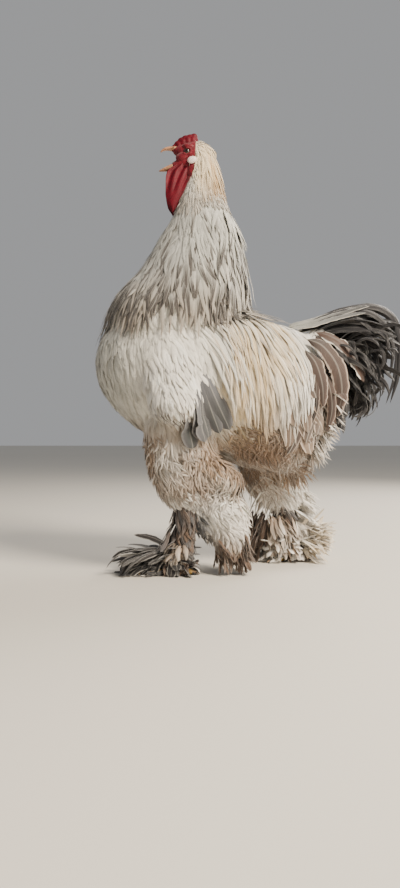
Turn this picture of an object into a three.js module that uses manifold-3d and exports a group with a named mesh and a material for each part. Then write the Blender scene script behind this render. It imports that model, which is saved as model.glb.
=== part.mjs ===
// A Brahma rooster standing and crowing, life size, as a still museum figure.
// Millimetres, +Z up. The bird faces -X and its left side faces -Y. The origin is on the floor,
// under the middle of the figure.
import * as THREE from "three";
import { mergeVertices } from "three/addons/utils/BufferGeometryUtils.js";
import Module from "manifold-3d";

const wasm = await Module();
wasm.setup();

// Driving dimensions
const clearance = 0.3; // between parts that touch
const sliver = 0.04; // edges shorter than this are merged away
const soleLevel = 0; // the floor
const left = -1;
const right = 1;

// Trunk outline: x, underside, back, half width, from the breast to the rump
const trunkFront = -259;
const trunkRear = 137;
const trunkStations = [
  [-259, 340, 340, 0],
  [-254, 309, 372, 38],
  [-240, 279, 402, 70],
  [-211, 246, 428, 95],
  [-178, 222, 440, 108],
  [-127, 202, 442, 115],
  [-68, 186, 436, 115],
  [0, 166, 424, 111],
  [51, 156, 412, 99],
  [85, 153, 398, 84],
  [115, 172, 376, 60],
  [132, 210, 338, 32],
  [137, 262, 262, 0],
];

// Neck with its feathers: height, front, back, half width, from the breast to the head
const neckStations = [
  [380, -234, -44, 104],
  [397, -240, -30, 110],
  [417, -242, -16, 109],
  [437, -237, -6, 103],
  [459, -225, -3, 94],
  [485, -201, -6, 83],
  [518, -179, -7, 70],
  [552, -159, -11, 56],
  [578, -143, -19, 46],
  [603, -130, -32, 37],
  [628, -121, -39, 29],
  [662, -115, -46, 22],
  [692, -108, -58, 14],
];
const neckCover = 5; // depth of the hackle over the neck's core

// Thigh: height, front, back, half width about its own middle line, for the left leg
const thighStations = [
  [250, -180, -62, 46],
  [220, -180, -58, 51],
  [189, -176, -52, 53],
  [149, -167, -46, 48],
  [125, -154, -46, 40],
  [108, -138, -60, 26],
];

const legs = {
  left: { side: left, ankle: [-121, -60], hock: [-103, -62, 112], thighShift: 0, turn: 4, fan: 1, reach: 114 },
  right: { side: right, ankle: [80, 60], hock: [62, 62, 114], thighShift: 150, turn: -4, fan: 0.7, reach: 82 },
};
const thighMiddle = 62; // each thigh's middle line, out from the body's middle

const head = { x: -97, z: 696, halfLength: 33, halfHeight: 22, halfWidth: 17.5 };
const eye = { x: -9.3, out: 11.6, z: 0, radius: 6 };
const ankleHeight = 15;

// Colours of the real bird
const finish = {
  white: { color: 0xd9d3c4, roughness: 0.85 },
  cream: { color: 0xd8c7a4, roughness: 0.85 },
  fluff: { color: 0xa8957d, roughness: 0.95 },
  black: { color: 0x24231f, roughness: 0.55 },
  grey: { color: 0x8b8d88, roughness: 0.8 },
  red: { color: 0x8f1420, roughness: 0.6 },
  horn: { color: 0xc79a5e, roughness: 0.45 },
  lobe: { color: 0xd8cfc8, roughness: 0.6 },
  eye: { color: 0x6b2b12, roughness: 0.1 },
  scale: { color: 0xc89b4a, roughness: 0.6 },
};

// Small tools
const vec = (x, y, z) => new THREE.Vector3(x, y, z);
const mix = THREE.MathUtils.lerp;
const radians = THREE.MathUtils.degToRad;

// The same row of random numbers for a given seed.
function dice(seed) {
  let state = seed;
  return (low = 0, high = 1) => {
    state = (state * 1664525 + 1013904223) % 4294967296;
    return low + ((high - low) * state) / 4294967296;
  };
}

// Reads a table whose rows are [key, ...values] at any key, as one smooth curve.
function read(table, key) {
  const last = table.length - 1;
  const up = table[last][0] > table[0][0] ? 1 : -1;
  let i = 0;
  while (i < last - 1 && up * (key - table[i + 1][0]) > 0) i++;
  const span = table[i + 1][0] - table[i][0];
  const t = (key - table[i][0]) / span;
  const slope = (row, column) => {
    const before = table[Math.max(0, row - 1)];
    const after = table[Math.min(last, row + 1)];
    return ((after[column] - before[column]) / (after[0] - before[0])) * span;
  };
  return table[0].slice(1).map((_, k) => {
    const column = k + 1;
    const a = table[i][column];
    const b = table[i + 1][column];
    if (t < 0) return a + slope(i, column) * t;
    if (t > 1) return b + slope(i + 1, column) * (t - 1);
    const bend = t * t * (3 - 2 * t);
    const startPull = t * (1 - t) * (1 - t) * slope(i, column);
    const endPull = t * t * (1 - t) * slope(i + 1, column);
    return mix(a, b, bend) + startPull - endPull;
  });
}

// A closed skin from a sphere's grid. place gives its points, with around and along from 0 to 1.
function ball(around, along, place) {
  const geometry = new THREE.SphereGeometry(1, around, along);
  const { position, uv } = geometry.attributes;
  for (let i = 0; i < position.count; i++) {
    const v = 1 - uv.getY(i);
    const pole = v < 1e-6 || v > 1 - 1e-6;
    const p = place(pole ? 0 : uv.getX(i) % 1, v);
    position.setXYZ(i, p.x, p.y, p.z);
  }
  return geometry;
}

const ellipsoid = (centre, radii, around = 14, along = 10) =>
  ball(around, along, (u, v) => {
    const ring = Math.sin(Math.PI * v);
    const turn = 2 * Math.PI * u;
    return vec(
      centre[0] + radii[0] * ring * Math.cos(turn),
      centre[1] + radii[1] * ring * Math.sin(turn),
      centre[2] + radii[2] * Math.cos(Math.PI * v),
    );
  });

// A round-ended limb along a smooth line. radii run along it, and flat squeezes its height.
function limb(points, radii, { around = 10, along = 8, flat = 1, up = [0, 0, 1] } = {}) {
  const line = new THREE.CatmullRomCurve3(points.map((p) => vec(...p)));
  const sizes = radii.map((r, i) => [i / (radii.length - 1), r]);
  return ball(around, along, (u, v) => {
    const forward = line.getTangent(v);
    const side = vec(...up).cross(forward).normalize();
    const top = forward.clone().cross(side);
    const radius = read(sizes, v)[0] * Math.sqrt(Math.max(0, 1 - (2 * v - 1) ** 6));
    const turn = 2 * Math.PI * u;
    return line
      .getPoint(v)
      .addScaledVector(side, radius * Math.cos(turn))
      .addScaledVector(top, radius * flat * Math.sin(turn));
  });
}

// A skin of level rings read from a table of height, front, back and half width.
function column(table, middle, shift, around, along, thinner = 0) {
  const low = table[0][0];
  const high = table[table.length - 1][0];
  return ball(around, along, (u, v) => {
    const turn = 2 * Math.PI * u;
    const [front, back, half] = read(table, mix(low, high, v));
    const ends = Math.sqrt(Math.max(0, 1 - (2 * v - 1) ** 10));
    return vec(
      shift + (front + back) / 2 + ((back - front) / 2 - thinner) * ends * Math.cos(turn),
      middle + (half - thinner) * ends * Math.sin(turn),
      mix(low, high, v),
    );
  });
}

// A flat plate with both faces split alike. place takes across and along from 0 to 1, and the face.
function plate(across, along, place) {
  const grid = new THREE.PlaneGeometry(1, 1, across, along);
  const { uv } = grid.attributes;
  const count = uv.count;
  const points = [];
  for (const face of [1, -1])
    for (let i = 0; i < count; i++) points.push(...place(uv.getX(i), 1 - uv.getY(i), face).toArray());
  const faces = [];
  for (let i = 0; i < grid.index.count; i += 3) {
    const [a, b, c] = [0, 1, 2].map((k) => grid.index.getX(i + k));
    faces.push(a, b, c, a + count, c + count, b + count);
  }
  const row = across + 1;
  const rim = [];
  for (let k = 0; k < across; k++) rim.push(k);
  for (let k = 0; k < along; k++) rim.push(k * row + across);
  for (let k = across; k > 0; k--) rim.push(along * row + k);
  for (let k = along; k > 0; k--) rim.push(k * row);
  rim.forEach((p, k) => {
    const q = rim[(k + 1) % rim.length];
    faces.push(p, q, q + count, p, q + count, p + count);
  });
  const geometry = new THREE.BufferGeometry();
  geometry.setAttribute("position", new THREE.Float32BufferAttribute(points, 3));
  return geometry.setIndex(faces);
}

// Feather outlines: the share of the full width at each place from root to tip
const pointed = (s) => (s > 0.999 ? 0 : Math.sin(Math.PI * (0.1 + 0.88 * s)) ** 0.8);
const rounded = (s) => mix(0.3, 1, Math.min(1, 2 * s)) * Math.sqrt(1 - 0.9 * Math.max(0, (s - 0.6) / 0.4) ** 2);
const rootShare = 0.15; // the part of a feather that dips into what it grows from


// One feather vane. place gives a point from the share along the vane, the distance beside its
// middle line and the height over it.
function feather(place, { width, thickness = 1.2, across = 1, steps = 4, shape = pointed }) {
  const share = (v) => (v * steps <= 1 ? v * steps * rootShare : mix(rootShare, 1, (v * steps - 1) / (steps - 1)));
  const at = (u, s, face) =>
    place(s, (u - 0.5) * width * shape(s), shape(s) ? (face * thickness) / 2 : 0);
  return solid(plate(across, steps, (u, v, face) => at(u, share(v), face)));
}

// Lays a feather on a surface of two measures, from one place to another. beside is the measure
// that runs across the feather. Its root is sunk, its tip is lifted, and tilt lifts one edge.
function laid(surface, inside, { from, to, beside, sunk, lift, tilt = 0 }) {
  const probe = 0.01;
  const clear = 1; // height at which the feather leaves its root
  const rise = (s) =>
    s < rootShare ? mix(-sunk, clear, s / rootShare) : mix(clear, lift, (s - rootShare) / (1 - rootShare));
  return (s, offset, height) => {
    const at = [mix(from[0], to[0], s), mix(from[1], to[1], s)];
    const moved = (index, by) => surface(...at.map((value, i) => (i === index ? value + by : value)));
    const scale = moved(beside, probe).distanceTo(surface(...at)) / probe;
    at[beside] += offset / scale;
    const point = surface(...at);
    const normal = moved(0, probe).sub(point).cross(moved(1, probe).sub(point)).normalize();
    if (normal.dot(point.clone().sub(inside(point))) < 0) normal.negate();
    return point.addScaledVector(normal, rise(s) + tilt * offset + height);
  };
}

// Lays a feather on a free line, where line(s) gives the point and the normal.
function onLine(line) {
  return (s, offset, height) => {
    const { point, normal } = line(s);
    const ahead = line(s + 0.02).point.sub(line(s - 0.02).point).normalize();
    const side = ahead.clone().cross(normal).normalize();
    const over = side.clone().cross(ahead);
    return point.addScaledVector(side, offset).addScaledVector(over, height);
  };
}

// The line of a free feather that starts at a root and curls down as it goes.
function sweep({ root, side, rise, splay, length, curl, bend = [-0.25, 1.2], roll = 0 }) {
  const steps = 24;
  const back = vec(Math.cos(radians(splay)), side * Math.sin(radians(splay)), 0);
  const pitch = (s) => radians(rise - curl * THREE.MathUtils.smoothstep(s, ...bend));
  const line = [vec(...root)];
  for (let i = 0; i < steps; i++) {
    const angle = pitch((i + 0.5) / steps);
    const next = line[i].clone().addScaledVector(back, (Math.cos(angle) * length) / steps);
    next.z += (Math.sin(angle) * length) / steps;
    line.push(next);
  }
  const outward = vec(-back.y, back.x, 0).multiplyScalar(side);
  return (s) => {
    const place = THREE.MathUtils.clamp(s, 0, 1) * steps;
    const i = Math.min(steps - 1, Math.floor(place));
    const beyond = s < 0 ? s : Math.max(0, s - 1);
    const point = line[i].clone().lerp(line[i + 1], place - i);
    const angle = pitch(s);
    const ahead = back.clone().multiplyScalar(Math.cos(angle)).add(vec(0, 0, Math.sin(angle)));
    point.addScaledVector(ahead, beyond * length);
    const over = ahead.clone().cross(outward).multiplyScalar(side);
    const tilt = radians(roll);
    const normal = outward.clone().multiplyScalar(Math.cos(tilt)).addScaledVector(over, Math.sin(tilt));
    return { point, normal };
  };
}

// Leaves out the faces that shrink to a line where a form closes to a point.
function wholeFaces(index) {
  const kept = [];
  for (let i = 0; i < index.length; i += 3) {
    const [a, b, c] = index.subarray(i, i + 3);
    if (a !== b && b !== c && c !== a) kept.push(a, b, c);
  }
  return kept;
}

// Solids and cuts
function solid(geometry) {
  const bare = new THREE.BufferGeometry().setIndex(geometry.index);
  bare.setAttribute("position", geometry.attributes.position);
  const merged = mergeVertices(bare, 1e-4);
  const points = merged.attributes.position.array;
  const faces = new Uint32Array(wholeFaces(merged.index.array));
  const corner = (i) => vec(points[3 * faces[i]], points[3 * faces[i] + 1], points[3 * faces[i] + 2]);
  let volume = 0;
  for (let i = 0; i < faces.length; i += 3) volume += corner(i).dot(corner(i + 1).cross(corner(i + 2)));
  if (volume < 0) for (let i = 0; i < faces.length; i += 3) [faces[i], faces[i + 1]] = [faces[i + 1], faces[i]];
  return new wasm.Manifold(new wasm.Mesh({ numProp: 3, vertProperties: points, triVerts: faces }));
}

function geometryOf(body) {
  const mesh = body.getMesh();
  const geometry = new THREE.BufferGeometry();
  geometry.setAttribute("position", new THREE.BufferAttribute(new Float32Array(mesh.vertProperties), 3));
  return geometry.setIndex(new THREE.BufferAttribute(new Uint32Array(mesh.triVerts), 1));
}

// The same body with its skin moved out, to cut clear space for it in a neighbour.
function grown(body, by = clearance) {
  const geometry = geometryOf(body);
  geometry.computeVertexNormals();
  const { position, normal } = geometry.attributes;
  const reach = by * 1.7; // an edge's faces move out by less than its corners do
  for (let i = 0; i < position.count; i++)
    position.setXYZ(
      i,
      position.getX(i) + reach * normal.getX(i),
      position.getY(i) + reach * normal.getY(i),
      position.getZ(i) + reach * normal.getZ(i),
    );
  return solid(geometry);
}

const largest = (body) => body.decompose().reduce((a, b) => (b.volume() > a.volume() ? b : a));
const joined = (bodies) => largest(wasm.Manifold.union(bodies));
const seated = (body, ...neighbours) =>
  largest(neighbours.reduce((rest, other) => rest.subtract(grown(other)), body)).simplify(sliver);
const overFloor = (body, level = soleLevel) => body.trimByPlane([0, 0, 1], level);

// Trunk
const trunkMiddle = (trunkFront + trunkRear) / 2;
const trunkHalf = (trunkRear - trunkFront) / 2;
const trunkAngle = (x) => Math.acos(THREE.MathUtils.clamp((trunkMiddle - x) / trunkHalf, -1, 1));
const trunkTable = trunkStations.map(([x, ...sizes]) => [trunkAngle(x), ...sizes]);

function trunkRing(x) {
  const [under, back, half] = read(trunkTable, trunkAngle(x));
  return { centre: (under + back) / 2, tall: (back - under) / 2, half };
}

function trunkPoint(x, turn, out = 0) {
  const ring = trunkRing(x);
  return vec(
    x,
    (ring.half + out) * Math.sin(turn),
    ring.centre + (ring.tall + out) * Math.cos(turn),
  );
}

const makeTrunk = () =>
  solid(
    ball(24, 16, (u, v) => trunkPoint(trunkMiddle - trunkHalf * Math.cos(Math.PI * v), 2 * Math.PI * u)),
  );

// Moves a point of the hackle out of the trunk, so that the cape drapes over it.
function overTrunk(point, out) {
  const ring = trunkRing(point.x);
  const share = Math.hypot(point.y / (ring.half + out), (point.z - ring.centre) / (ring.tall + out));
  if (share >= 1 || ring.half < 5) return point;
  return vec(point.x, point.y / share, ring.centre + (point.z - ring.centre) / share);
}

// Neck and hackle
function neckPoint(turn, z, out = 0) {
  const [front, back, half] = read(neckStations, z);
  return vec(
    (front + back) / 2 - ((back - front) / 2 + out) * Math.cos(turn),
    -(half + out) * Math.sin(turn),
    z,
  );
}

// Tiers of hackle feathers: root height, length, count, width, lift of the tips
const hackleTiers = [
  [670, 62, 6, 20, 3],
  [638, 76, 6, 28, 4],
  [596, 88, 8, 33, 5],
  [546, 98, 10, 38, 5.5],
  [490, 98, 12, 44, 6],
];

// How far down the cape reaches: lowest on the shoulders, higher on the breast and on the back
const capeEdge = (turn) => 386 + 12 * Math.max(0, Math.cos(turn)) ** 2 + 50 * Math.max(0, -Math.cos(turn)) ** 2;

function makeNeck() {
  const random = dice(11);
  const core = solid(column(neckStations, 0, 0, 16, 10, neckCover));
  const surface = (turn, z) => overTrunk(neckPoint(turn, z, -neckCover), 1);
  const inside = (p) => vec(-90, 0, p.z);
  const feathers = hackleTiers.flatMap(([z, length, count, width, lift], tier) =>
    Array.from({ length: count }, (_, i) => {
      const turn = ((i + (tier % 2) / 2 + random(-0.1, 0.1)) / count) * 2 * Math.PI;
      const end = Math.max(z - length * random(0.92, 1.07), capeEdge(turn) + random(0, 4));
      const place = laid(surface, inside, {
        from: [turn, z],
        to: [turn + random(-0.04, 0.04), end],
        beside: 0,
        sunk: 4,
        lift: lift + random(-0.5, 0.5),
      });
      return feather(place, { width: width * random(0.92, 1.08), across: tier < 2 ? 2 : 1, steps: 3 });
    }),
  );
  return joined([core, ...feathers]);
}

// Wing: a shell on the flank with rows of feathers laid along its length
const wing = {
  shoulder: [-163, 380],
  tip: [-58, 208],
  halfBreadth: 54,
  thickness: 6,
  hangFrom: 0.35, // below this share of the trunk's height the wing hangs straight
};
const wingLength = Math.hypot(wing.tip[0] - wing.shoulder[0], wing.tip[1] - wing.shoulder[1]);
const wingAlong = [
  (wing.tip[0] - wing.shoulder[0]) / wingLength,
  (wing.tip[1] - wing.shoulder[1]) / wingLength,
];

// A point of the wing from its distance down the wing, its distance across it, and its height.
function wingPoint(side, down, across, out) {
  const x = wing.shoulder[0] + wingAlong[0] * down - wingAlong[1] * across;
  const z = wing.shoulder[1] + wingAlong[1] * down + wingAlong[0] * across;
  const ring = trunkRing(x);
  const level = Math.max(z, ring.centre - wing.hangFrom * ring.tall);
  const flank = ring.half * Math.sqrt(Math.max(0.05, 1 - ((level - ring.centre) / ring.tall) ** 2));
  return vec(x, side * (flank + out), z);
}

// Primaries, secondaries, greater and lesser coverts: first and last place down the wing, first
// and last place across it, count, width, height over the flank
const wingRows = [
  { root: 88, tip: 206, from: -14, to: 20, count: 4, width: 21, out: 2, tilt: 0.2 },
  { root: 62, tip: 172, from: 8, to: 50, count: 4, width: 25, out: 5.5, tilt: 0.13 },
  { root: 42, tip: 134, from: -30, to: 44, count: 4, width: 34, out: 8.5, tilt: 0.07 },
  { root: 10, tip: 92, from: -18, to: 26, count: 2, width: 46, out: 11, tilt: 0.05 },
];

function makeWing(side) {
  const random = dice(side === left ? 21 : 22);
  const shell = solid(
    ball(14, 8, (u, v) => {
      const ring = Math.sin(Math.PI * v);
      const turn = 2 * Math.PI * u;
      return wingPoint(
        side,
        wingLength * 0.36 - 78 * Math.cos(Math.PI * v),
        wing.halfBreadth * ring * Math.cos(turn) + 2,
        wing.thickness * ring * Math.sin(turn),
      );
    }),
  );
  const inside = (p) => vec(p.x, 0, p.z);
  const feathers = wingRows.flatMap((row) =>
    Array.from({ length: row.count }, (_, i) => {
      const share = i / (row.count - 1);
      const across = mix(row.from, row.to, share);
      const place = laid((a, b) => wingPoint(side, a, b, row.out), inside, {
        from: [row.root, across],
        to: [mix(row.tip, row.tip * 0.9, share) * random(0.97, 1.02), across * 0.86],
        beside: 1,
        sunk: 2 + row.out,
        lift: 2.5,
        tilt: row.tilt,
      });
      return feather(place, { width: row.width, thickness: 1.2, steps: 3, shape: rounded });
    }),
  );
  return joined([shell, ...feathers]);
}

// Saddle: hackles that hang from the back over the flanks
const saddle = { front: -22, rear: 86, base: 5, reach: 1.35 };
const saddleRows = [
  { turn: 0.25, drop: 1.35, count: 4, width: 31, out: 10, sunk: 8 },
  { turn: 0.85, drop: 1.95, count: 5, width: 27, out: 5, sunk: 4 },
];

function makeSaddle() {
  const random = dice(31);
  const cap = solid(
    plate(10, 5, (u, v, face) => {
      const edge = Math.min(u, 1 - u, v, 1 - v) < 0.01;
      const out = face > 0 ? (edge ? 1.5 : saddle.base) : -saddle.base;
      return trunkPoint(mix(saddle.front, saddle.rear, v), saddle.reach * (2 * u - 1), out);
    }),
  );
  const inside = (p) => vec(p.x, 0, 290);
  const feathers = [left, right].flatMap((side) =>
    saddleRows.flatMap((row, tier) =>
      Array.from({ length: row.count }, (_, i) => {
        const share = (i + (tier % 2) / 2) / row.count;
        const x = mix(saddle.front + 4, saddle.rear - 4, share);
        const trail = mix(6, 14, share) + random(-4, 4);
        const end = row.drop * mix(1.04, 0.92, share);
        const overWing = (a, b) => {
          const near = THREE.MathUtils.smoothstep(-a, -20, 30) * THREE.MathUtils.smoothstep(b, 0.9, 1.3);
          return trunkPoint(a, side * b, row.out + 14 * near);
        };
        const place = laid(overWing, inside, {
          from: [x, row.turn],
          to: [x + trail, end],
          beside: 0,
          sunk: row.sunk,
          lift: 3.5,
          tilt: 0.07,
        });
        return feather(place, { width: row.width * random(0.92, 1.08), steps: 4 });
      }),
    ),
  );
  return joined([cap, ...feathers]);
}

// Tail: a short cone with main feathers, two rows of coverts and long curling sickles on each side
const tailRoot = { x: 112, z: 352 };
const tailRows = [
  {
    count: 5,
    steps: 4,
    rise: [40, -52],
    length: [150, 92],
    curl: [112, 60],
    splay: [5, 18],
    out: [7, 22],
    z: [394, 318],
    width: 35,
  },
  {
    count: 4,
    steps: 3,
    rise: [22, -52],
    length: [126, 92],
    curl: [118, 56],
    splay: [15, 28],
    out: [18, 30],
    z: [386, 324],
    width: 32,
  },
  {
    count: 2,
    steps: 3,
    rise: [-6, -46],
    length: [88, 76],
    curl: [84, 44],
    splay: [26, 38],
    out: [27, 33],
    z: [376, 334],
    width: 33,
  },
];
const sickles = [
  { rise: 31, length: 300, curl: 142, bend: [0.03, 0.78], splay: 3, out: 5, z: 400, width: 20 },
  { rise: 27, length: 228, curl: 140, bend: [0.03, 0.8], splay: 10, out: 12, z: 394, width: 19 },
];

function makeTail() {
  const random = dice(41);
  const core = solid(ellipsoid([tailRoot.x + 6, 0, tailRoot.z + 6], [38, 42, 54], 14, 8));
  const spread = (pair, share) => mix(pair[0], pair[1], share);
  const vanes = [left, right].flatMap((side) => {
    const rows = tailRows.flatMap((row) =>
      Array.from({ length: row.count }, (_, i) => {
        const share = i / (row.count - 1);
        const line = sweep({
          root: [tailRoot.x, side * spread(row.out, share), spread(row.z, share)],
          side,
          rise: spread(row.rise, share) + random(-3, 3),
          splay: spread(row.splay, share) + random(-2, 2),
          length: spread(row.length, share) * random(0.95, 1.04),
          curl: spread(row.curl, share) + random(-8, 8),
          roll: 18,
        });
        return feather(onLine(line), { width: row.width, thickness: 1.4, steps: row.steps, shape: rounded });
      }),
    );
    const long = sickles.map(({ out, z, width, ...rest }) => {
      const line = sweep({ root: [tailRoot.x, side * out, z], side, roll: 10, ...rest });
      return feather(onLine(line), { width, thickness: 1.6, steps: 7 });
    });
    return [...rows, ...long];
  });
  return joined([core, ...vanes]);
}

// Legs
const makeThigh = (leg) =>
  solid(column([...thighStations].reverse(), leg.side * thighMiddle, leg.thighShift, 14, 7));

// Toes: length, turn outward in degrees, radius at the root
const toes = [
  { name: "inner", length: 46, turn: -30, radius: 7 },
  { name: "middle", length: 62, turn: -2, radius: 7.5 },
  { name: "outer", length: 52, turn: 24, radius: 7 },
  { name: "hind", length: 26, turn: 168, radius: 6 },
];
const solePress = 0.84; // height of a toe's middle line over the floor, as a share of its radius
const claw = { length: 14, radius: 3.2 };

function toeWay(leg, toe) {
  const angle = radians(leg.turn * leg.side + toe.turn);
  return [-Math.cos(angle), leg.side * Math.sin(angle)];
}

function makeToe(leg, toe) {
  const [dx, dy] = toeWay(leg, toe);
  const [x, y] = leg.ankle;
  const at = (share, z) => [x + dx * toe.length * share, y + dy * toe.length * share, z];
  const radii = [toe.radius, 6.8, 6, 4.6];
  const line = [0, 0.3, 0.65, 1].map((share, i) => at(share, radii[i] * solePress));
  return solid(limb(line, radii, { around: 6, along: 5 }));
}

// Foot feathers lie outward and forward from the outer and middle toes: turn, count, width
const footFan = { from: -22, to: 128, count: 7, width: 33, outward: 78 };

function makeFoot(leg) {
  const random = dice(leg.side === left ? 51 : 52);
  const [x, y] = leg.ankle;
  const ankle = solid(ellipsoid([x, y, ankleHeight - 3], [12, 11, 15], 8, 6));
  const feathers = Array.from({ length: footFan.count }, (_, i) => {
    const share = i / (footFan.count - 1);
    const angle = radians(mix(footFan.from, footFan.to, share) + random(-5, 5));
    const forward = Math.max(0, Math.cos(angle));
    const start = 3;
    const length = mix(footFan.outward, leg.reach, forward) * random(0.9, 1) - start;
    const way = vec(-Math.cos(angle), leg.side * Math.sin(angle), 0);
    const high = 7 + 8 * (i % 3) + random(0, 3);
    const line = (s) => {
      const point = vec(x, y, 0).addScaledVector(way, start + length * s);
      point.z = 4.5 + high * Math.sin(Math.PI * Math.min(1, 0.15 + 0.8 * s)) ** 1.2;
      return { point, normal: vec(0, 0, 1).addScaledVector(way, 0.25 * (s - 0.5)).normalize() };
    };
    const width = footFan.width * random(0.88, 1.1);
    return feather(onLine(line), { width, thickness: 1.3, steps: 3, shape: rounded });
  });
  return overFloor(joined([ankle, ...toes.map((toe) => makeToe(leg, toe)), ...feathers]));
}

function makeClaw(leg, toe) {
  const [dx, dy] = toeWay(leg, toe);
  const [x, y] = leg.ankle;
  const at = (reach, z) => [x + dx * (toe.length + reach), y + dy * (toe.length + reach), z];
  const line = [at(-5, 4.2), at(0, 4.8), at(claw.length * 0.6, 4.1), at(claw.length, 1.7)];
  return solid(limb(line, [2.6, claw.radius, 2.2, 0.7], { around: 5, along: 4 }));
}

// Shank feathers: rows down the outer side that sweep back and out
const shankFan = { rows: 3, across: 3, width: 36, length: [86, 128], rise: 20 };
const boneTop = 30; // how far the shank runs up into the thigh

function makeShank(leg) {
  const random = dice(leg.side === left ? 61 : 62);
  const [x, y] = leg.ankle;
  const [hockX, hockY, hockZ] = leg.hock;
  const boneLine = [
    [hockX, hockY, hockZ + boneTop],
    [hockX, hockY, hockZ - 8],
    [mix(hockX, x, 0.6), y, hockZ * 0.5],
    [x, y, ankleHeight],
  ];
  const bone = solid(limb(boneLine, [22, 19, 17, 16], { around: 10, along: 6, up: [1, 0, 0] }));
  const feathers = Array.from({ length: shankFan.rows * shankFan.across }, (_, i) => {
    const row = Math.floor(i / shankFan.across);
    const column = i % shankFan.across;
    const down = row / (shankFan.rows - 1);
    const root = vec(mix(hockX, x, down * 0.9), mix(hockY, y, down), mix(hockZ - 20, 36, down));
    const angle = radians(mix(4, 92, (column + (row % 2) / 3) / shankFan.across) + random(-5, 5));
    const way = vec(Math.cos(angle), leg.side * Math.sin(angle), 0);
    const full = mix(shankFan.length[0], shankFan.length[1], down) * leg.fan;
    const length = full * mix(1, 0.62, column / (shankFan.across - 1));
    const fall = mix(26, 20, down) + random(-4, 4);
    const line = (s) => {
      const point = root.clone().addScaledVector(way, length * s * (1 - 0.1 * s));
      point.z += shankFan.rise * s - fall * s * Math.sqrt(Math.abs(s));
      return { point, normal: vec(-way.y * leg.side, way.x * leg.side, 0.5).normalize() };
    };
    return feather(onLine(line), { width: shankFan.width * random(0.9, 1.1), thickness: 1.3, steps: 3 });
  });
  return overFloor(joined([bone, ...feathers]), 1.5);
}

// Head, in its own frame about the middle of the skull
function makeSkull() {
  const { halfLength, halfHeight, halfWidth } = head;
  const skull = solid(
    ball(16, 12, (u, v) => {
      const ring = Math.sin(Math.PI * v);
      const turn = 2 * Math.PI * u;
      const x = -halfLength * Math.cos(Math.PI * v);
      const narrow = 1 - 0.28 * THREE.MathUtils.smoothstep(-x, 4, halfLength);
      return vec(x, halfWidth * narrow * ring * Math.sin(turn), halfHeight * ring * Math.cos(turn));
    }),
  );
  const jawLine = [[2, 0, -15], [-22, 0, -15], [-42, 0, -20.5]];
  const jaw = solid(limb(jawLine, [14, 11.5, 7.5], { flat: 0.6, around: 10, along: 6 }));
  const gapeLine = [[-16, 0, -4], [-30, 0, -5.5], [-48, 0, -7]];
  const gape = solid(limb(gapeLine, [4, 6.5, 9], { flat: 0.8, around: 8, along: 5 }));
  const lids = [left, right].map((side) => {
    const ring = new THREE.TorusGeometry(6, 1.7, 4, 10);
    ring.scale(1.18, 1, 1).rotateX(Math.PI / 2).rotateZ(radians(side * 7));
    return solid(ring.translate(eye.x, side * 15.2, eye.z));
  });
  return joined([skull, jaw, ...lids]).subtract(gape);
}

// Height of the comb's top over the skull's middle, from its front to its back
const combCrest = [
  [-35, 15.5],
  [-20, 26.5],
  [-3, 34],
  [7, 30.5],
];

// Three rows of low points, the middle one highest
function makeComb() {
  const line = [[-34, 0, 9], [-20, 0, 19], [-4, 0, 24], [8, 0, 24]];
  const base = solid(limb(line, [4, 7, 8, 4.5], { around: 8, along: 5 }));
  const rows = [
    { y: 0, count: 6, radius: 4.1, sink: 4.1, from: -33, to: 7 },
    { y: left * 5.6, count: 3, radius: 4, sink: 9.5, from: -26, to: 2 },
    { y: right * 5.6, count: 3, radius: 4, sink: 9.5, from: -26, to: 2 },
  ];
  const points = rows.flatMap((row) =>
    Array.from({ length: row.count }, (_, i) => {
      const x = mix(row.from, row.to, i / (row.count - 1));
      const z = read(combCrest, x)[0] - row.sink;
      return solid(ellipsoid([x, row.y, z], [row.radius, row.radius * 0.9, row.radius * 1.1], 5, 4));
    }),
  );
  return joined([base, ...points]);
}

function makeUpperBeak() {
  const line = [[-24, 0, 2], [-35, 0, 6], [-45, 0, 7.5], [-54, 0, 3]];
  const horn = solid(limb(line, [7, 7.6, 5.6, 1], { around: 10, along: 7, flat: 0.85 }));
  const nostrils = [left, right].map((side) => solid(ellipsoid([-38, side * 6.8, 9], [2.6, 2, 1.1], 5, 3)));
  return nostrils.reduce((beak, hole) => beak.subtract(hole), horn);
}

function makeLowerBeak() {
  const line = [[-34, 0, -17], [-47, 0, -21.5], [-58, 0, -27]];
  return solid(limb(line, [8, 6, 1], { around: 10, along: 6, flat: 0.5 }));
}

function makeTongue() {
  const line = [[-20, 0, -10], [-33, 0, -13], [-45, 0, -16.5]];
  return solid(limb(line, [3.6, 4, 1.2], { around: 8, along: 5, flat: 0.35 }));
}

// Wattle outline: height, front, back, half thickness
const wattleStations = [
  [-98, -36, -34, 0.5],
  [-90, -41, -27, 1.8],
  [-78, -44, -19, 2.6],
  [-62, -45.5, -10, 3],
  [-46, -46, -1, 3.2],
  [-34, -45, 6, 3.6],
  [-22, -38, 2, 4],
];

function makeWattle(side) {
  const [low, high] = [wattleStations[0][0], wattleStations[wattleStations.length - 1][0]];
  return solid(
    ball(14, 9, (u, v) => {
      const z = mix(low, high, v);
      const [front, back, half] = read(wattleStations, z);
      const turn = 2 * Math.PI * u;
      const ends = Math.sqrt(Math.max(0, 1 - (2 * v - 1) ** 8));
      const x = (front + back) / 2 + ((back - front) / 2) * ends * Math.cos(turn);
      const fold = 0.9 * Math.sin(0.32 * x + 0.06 * z);
      const flare = 11 * THREE.MathUtils.smoothstep(x, -24, -4);
      return vec(x, side * (mix(6, 11, v) + fold + flare) + half * ends * Math.sin(turn), z);
    }),
  );
}

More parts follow.
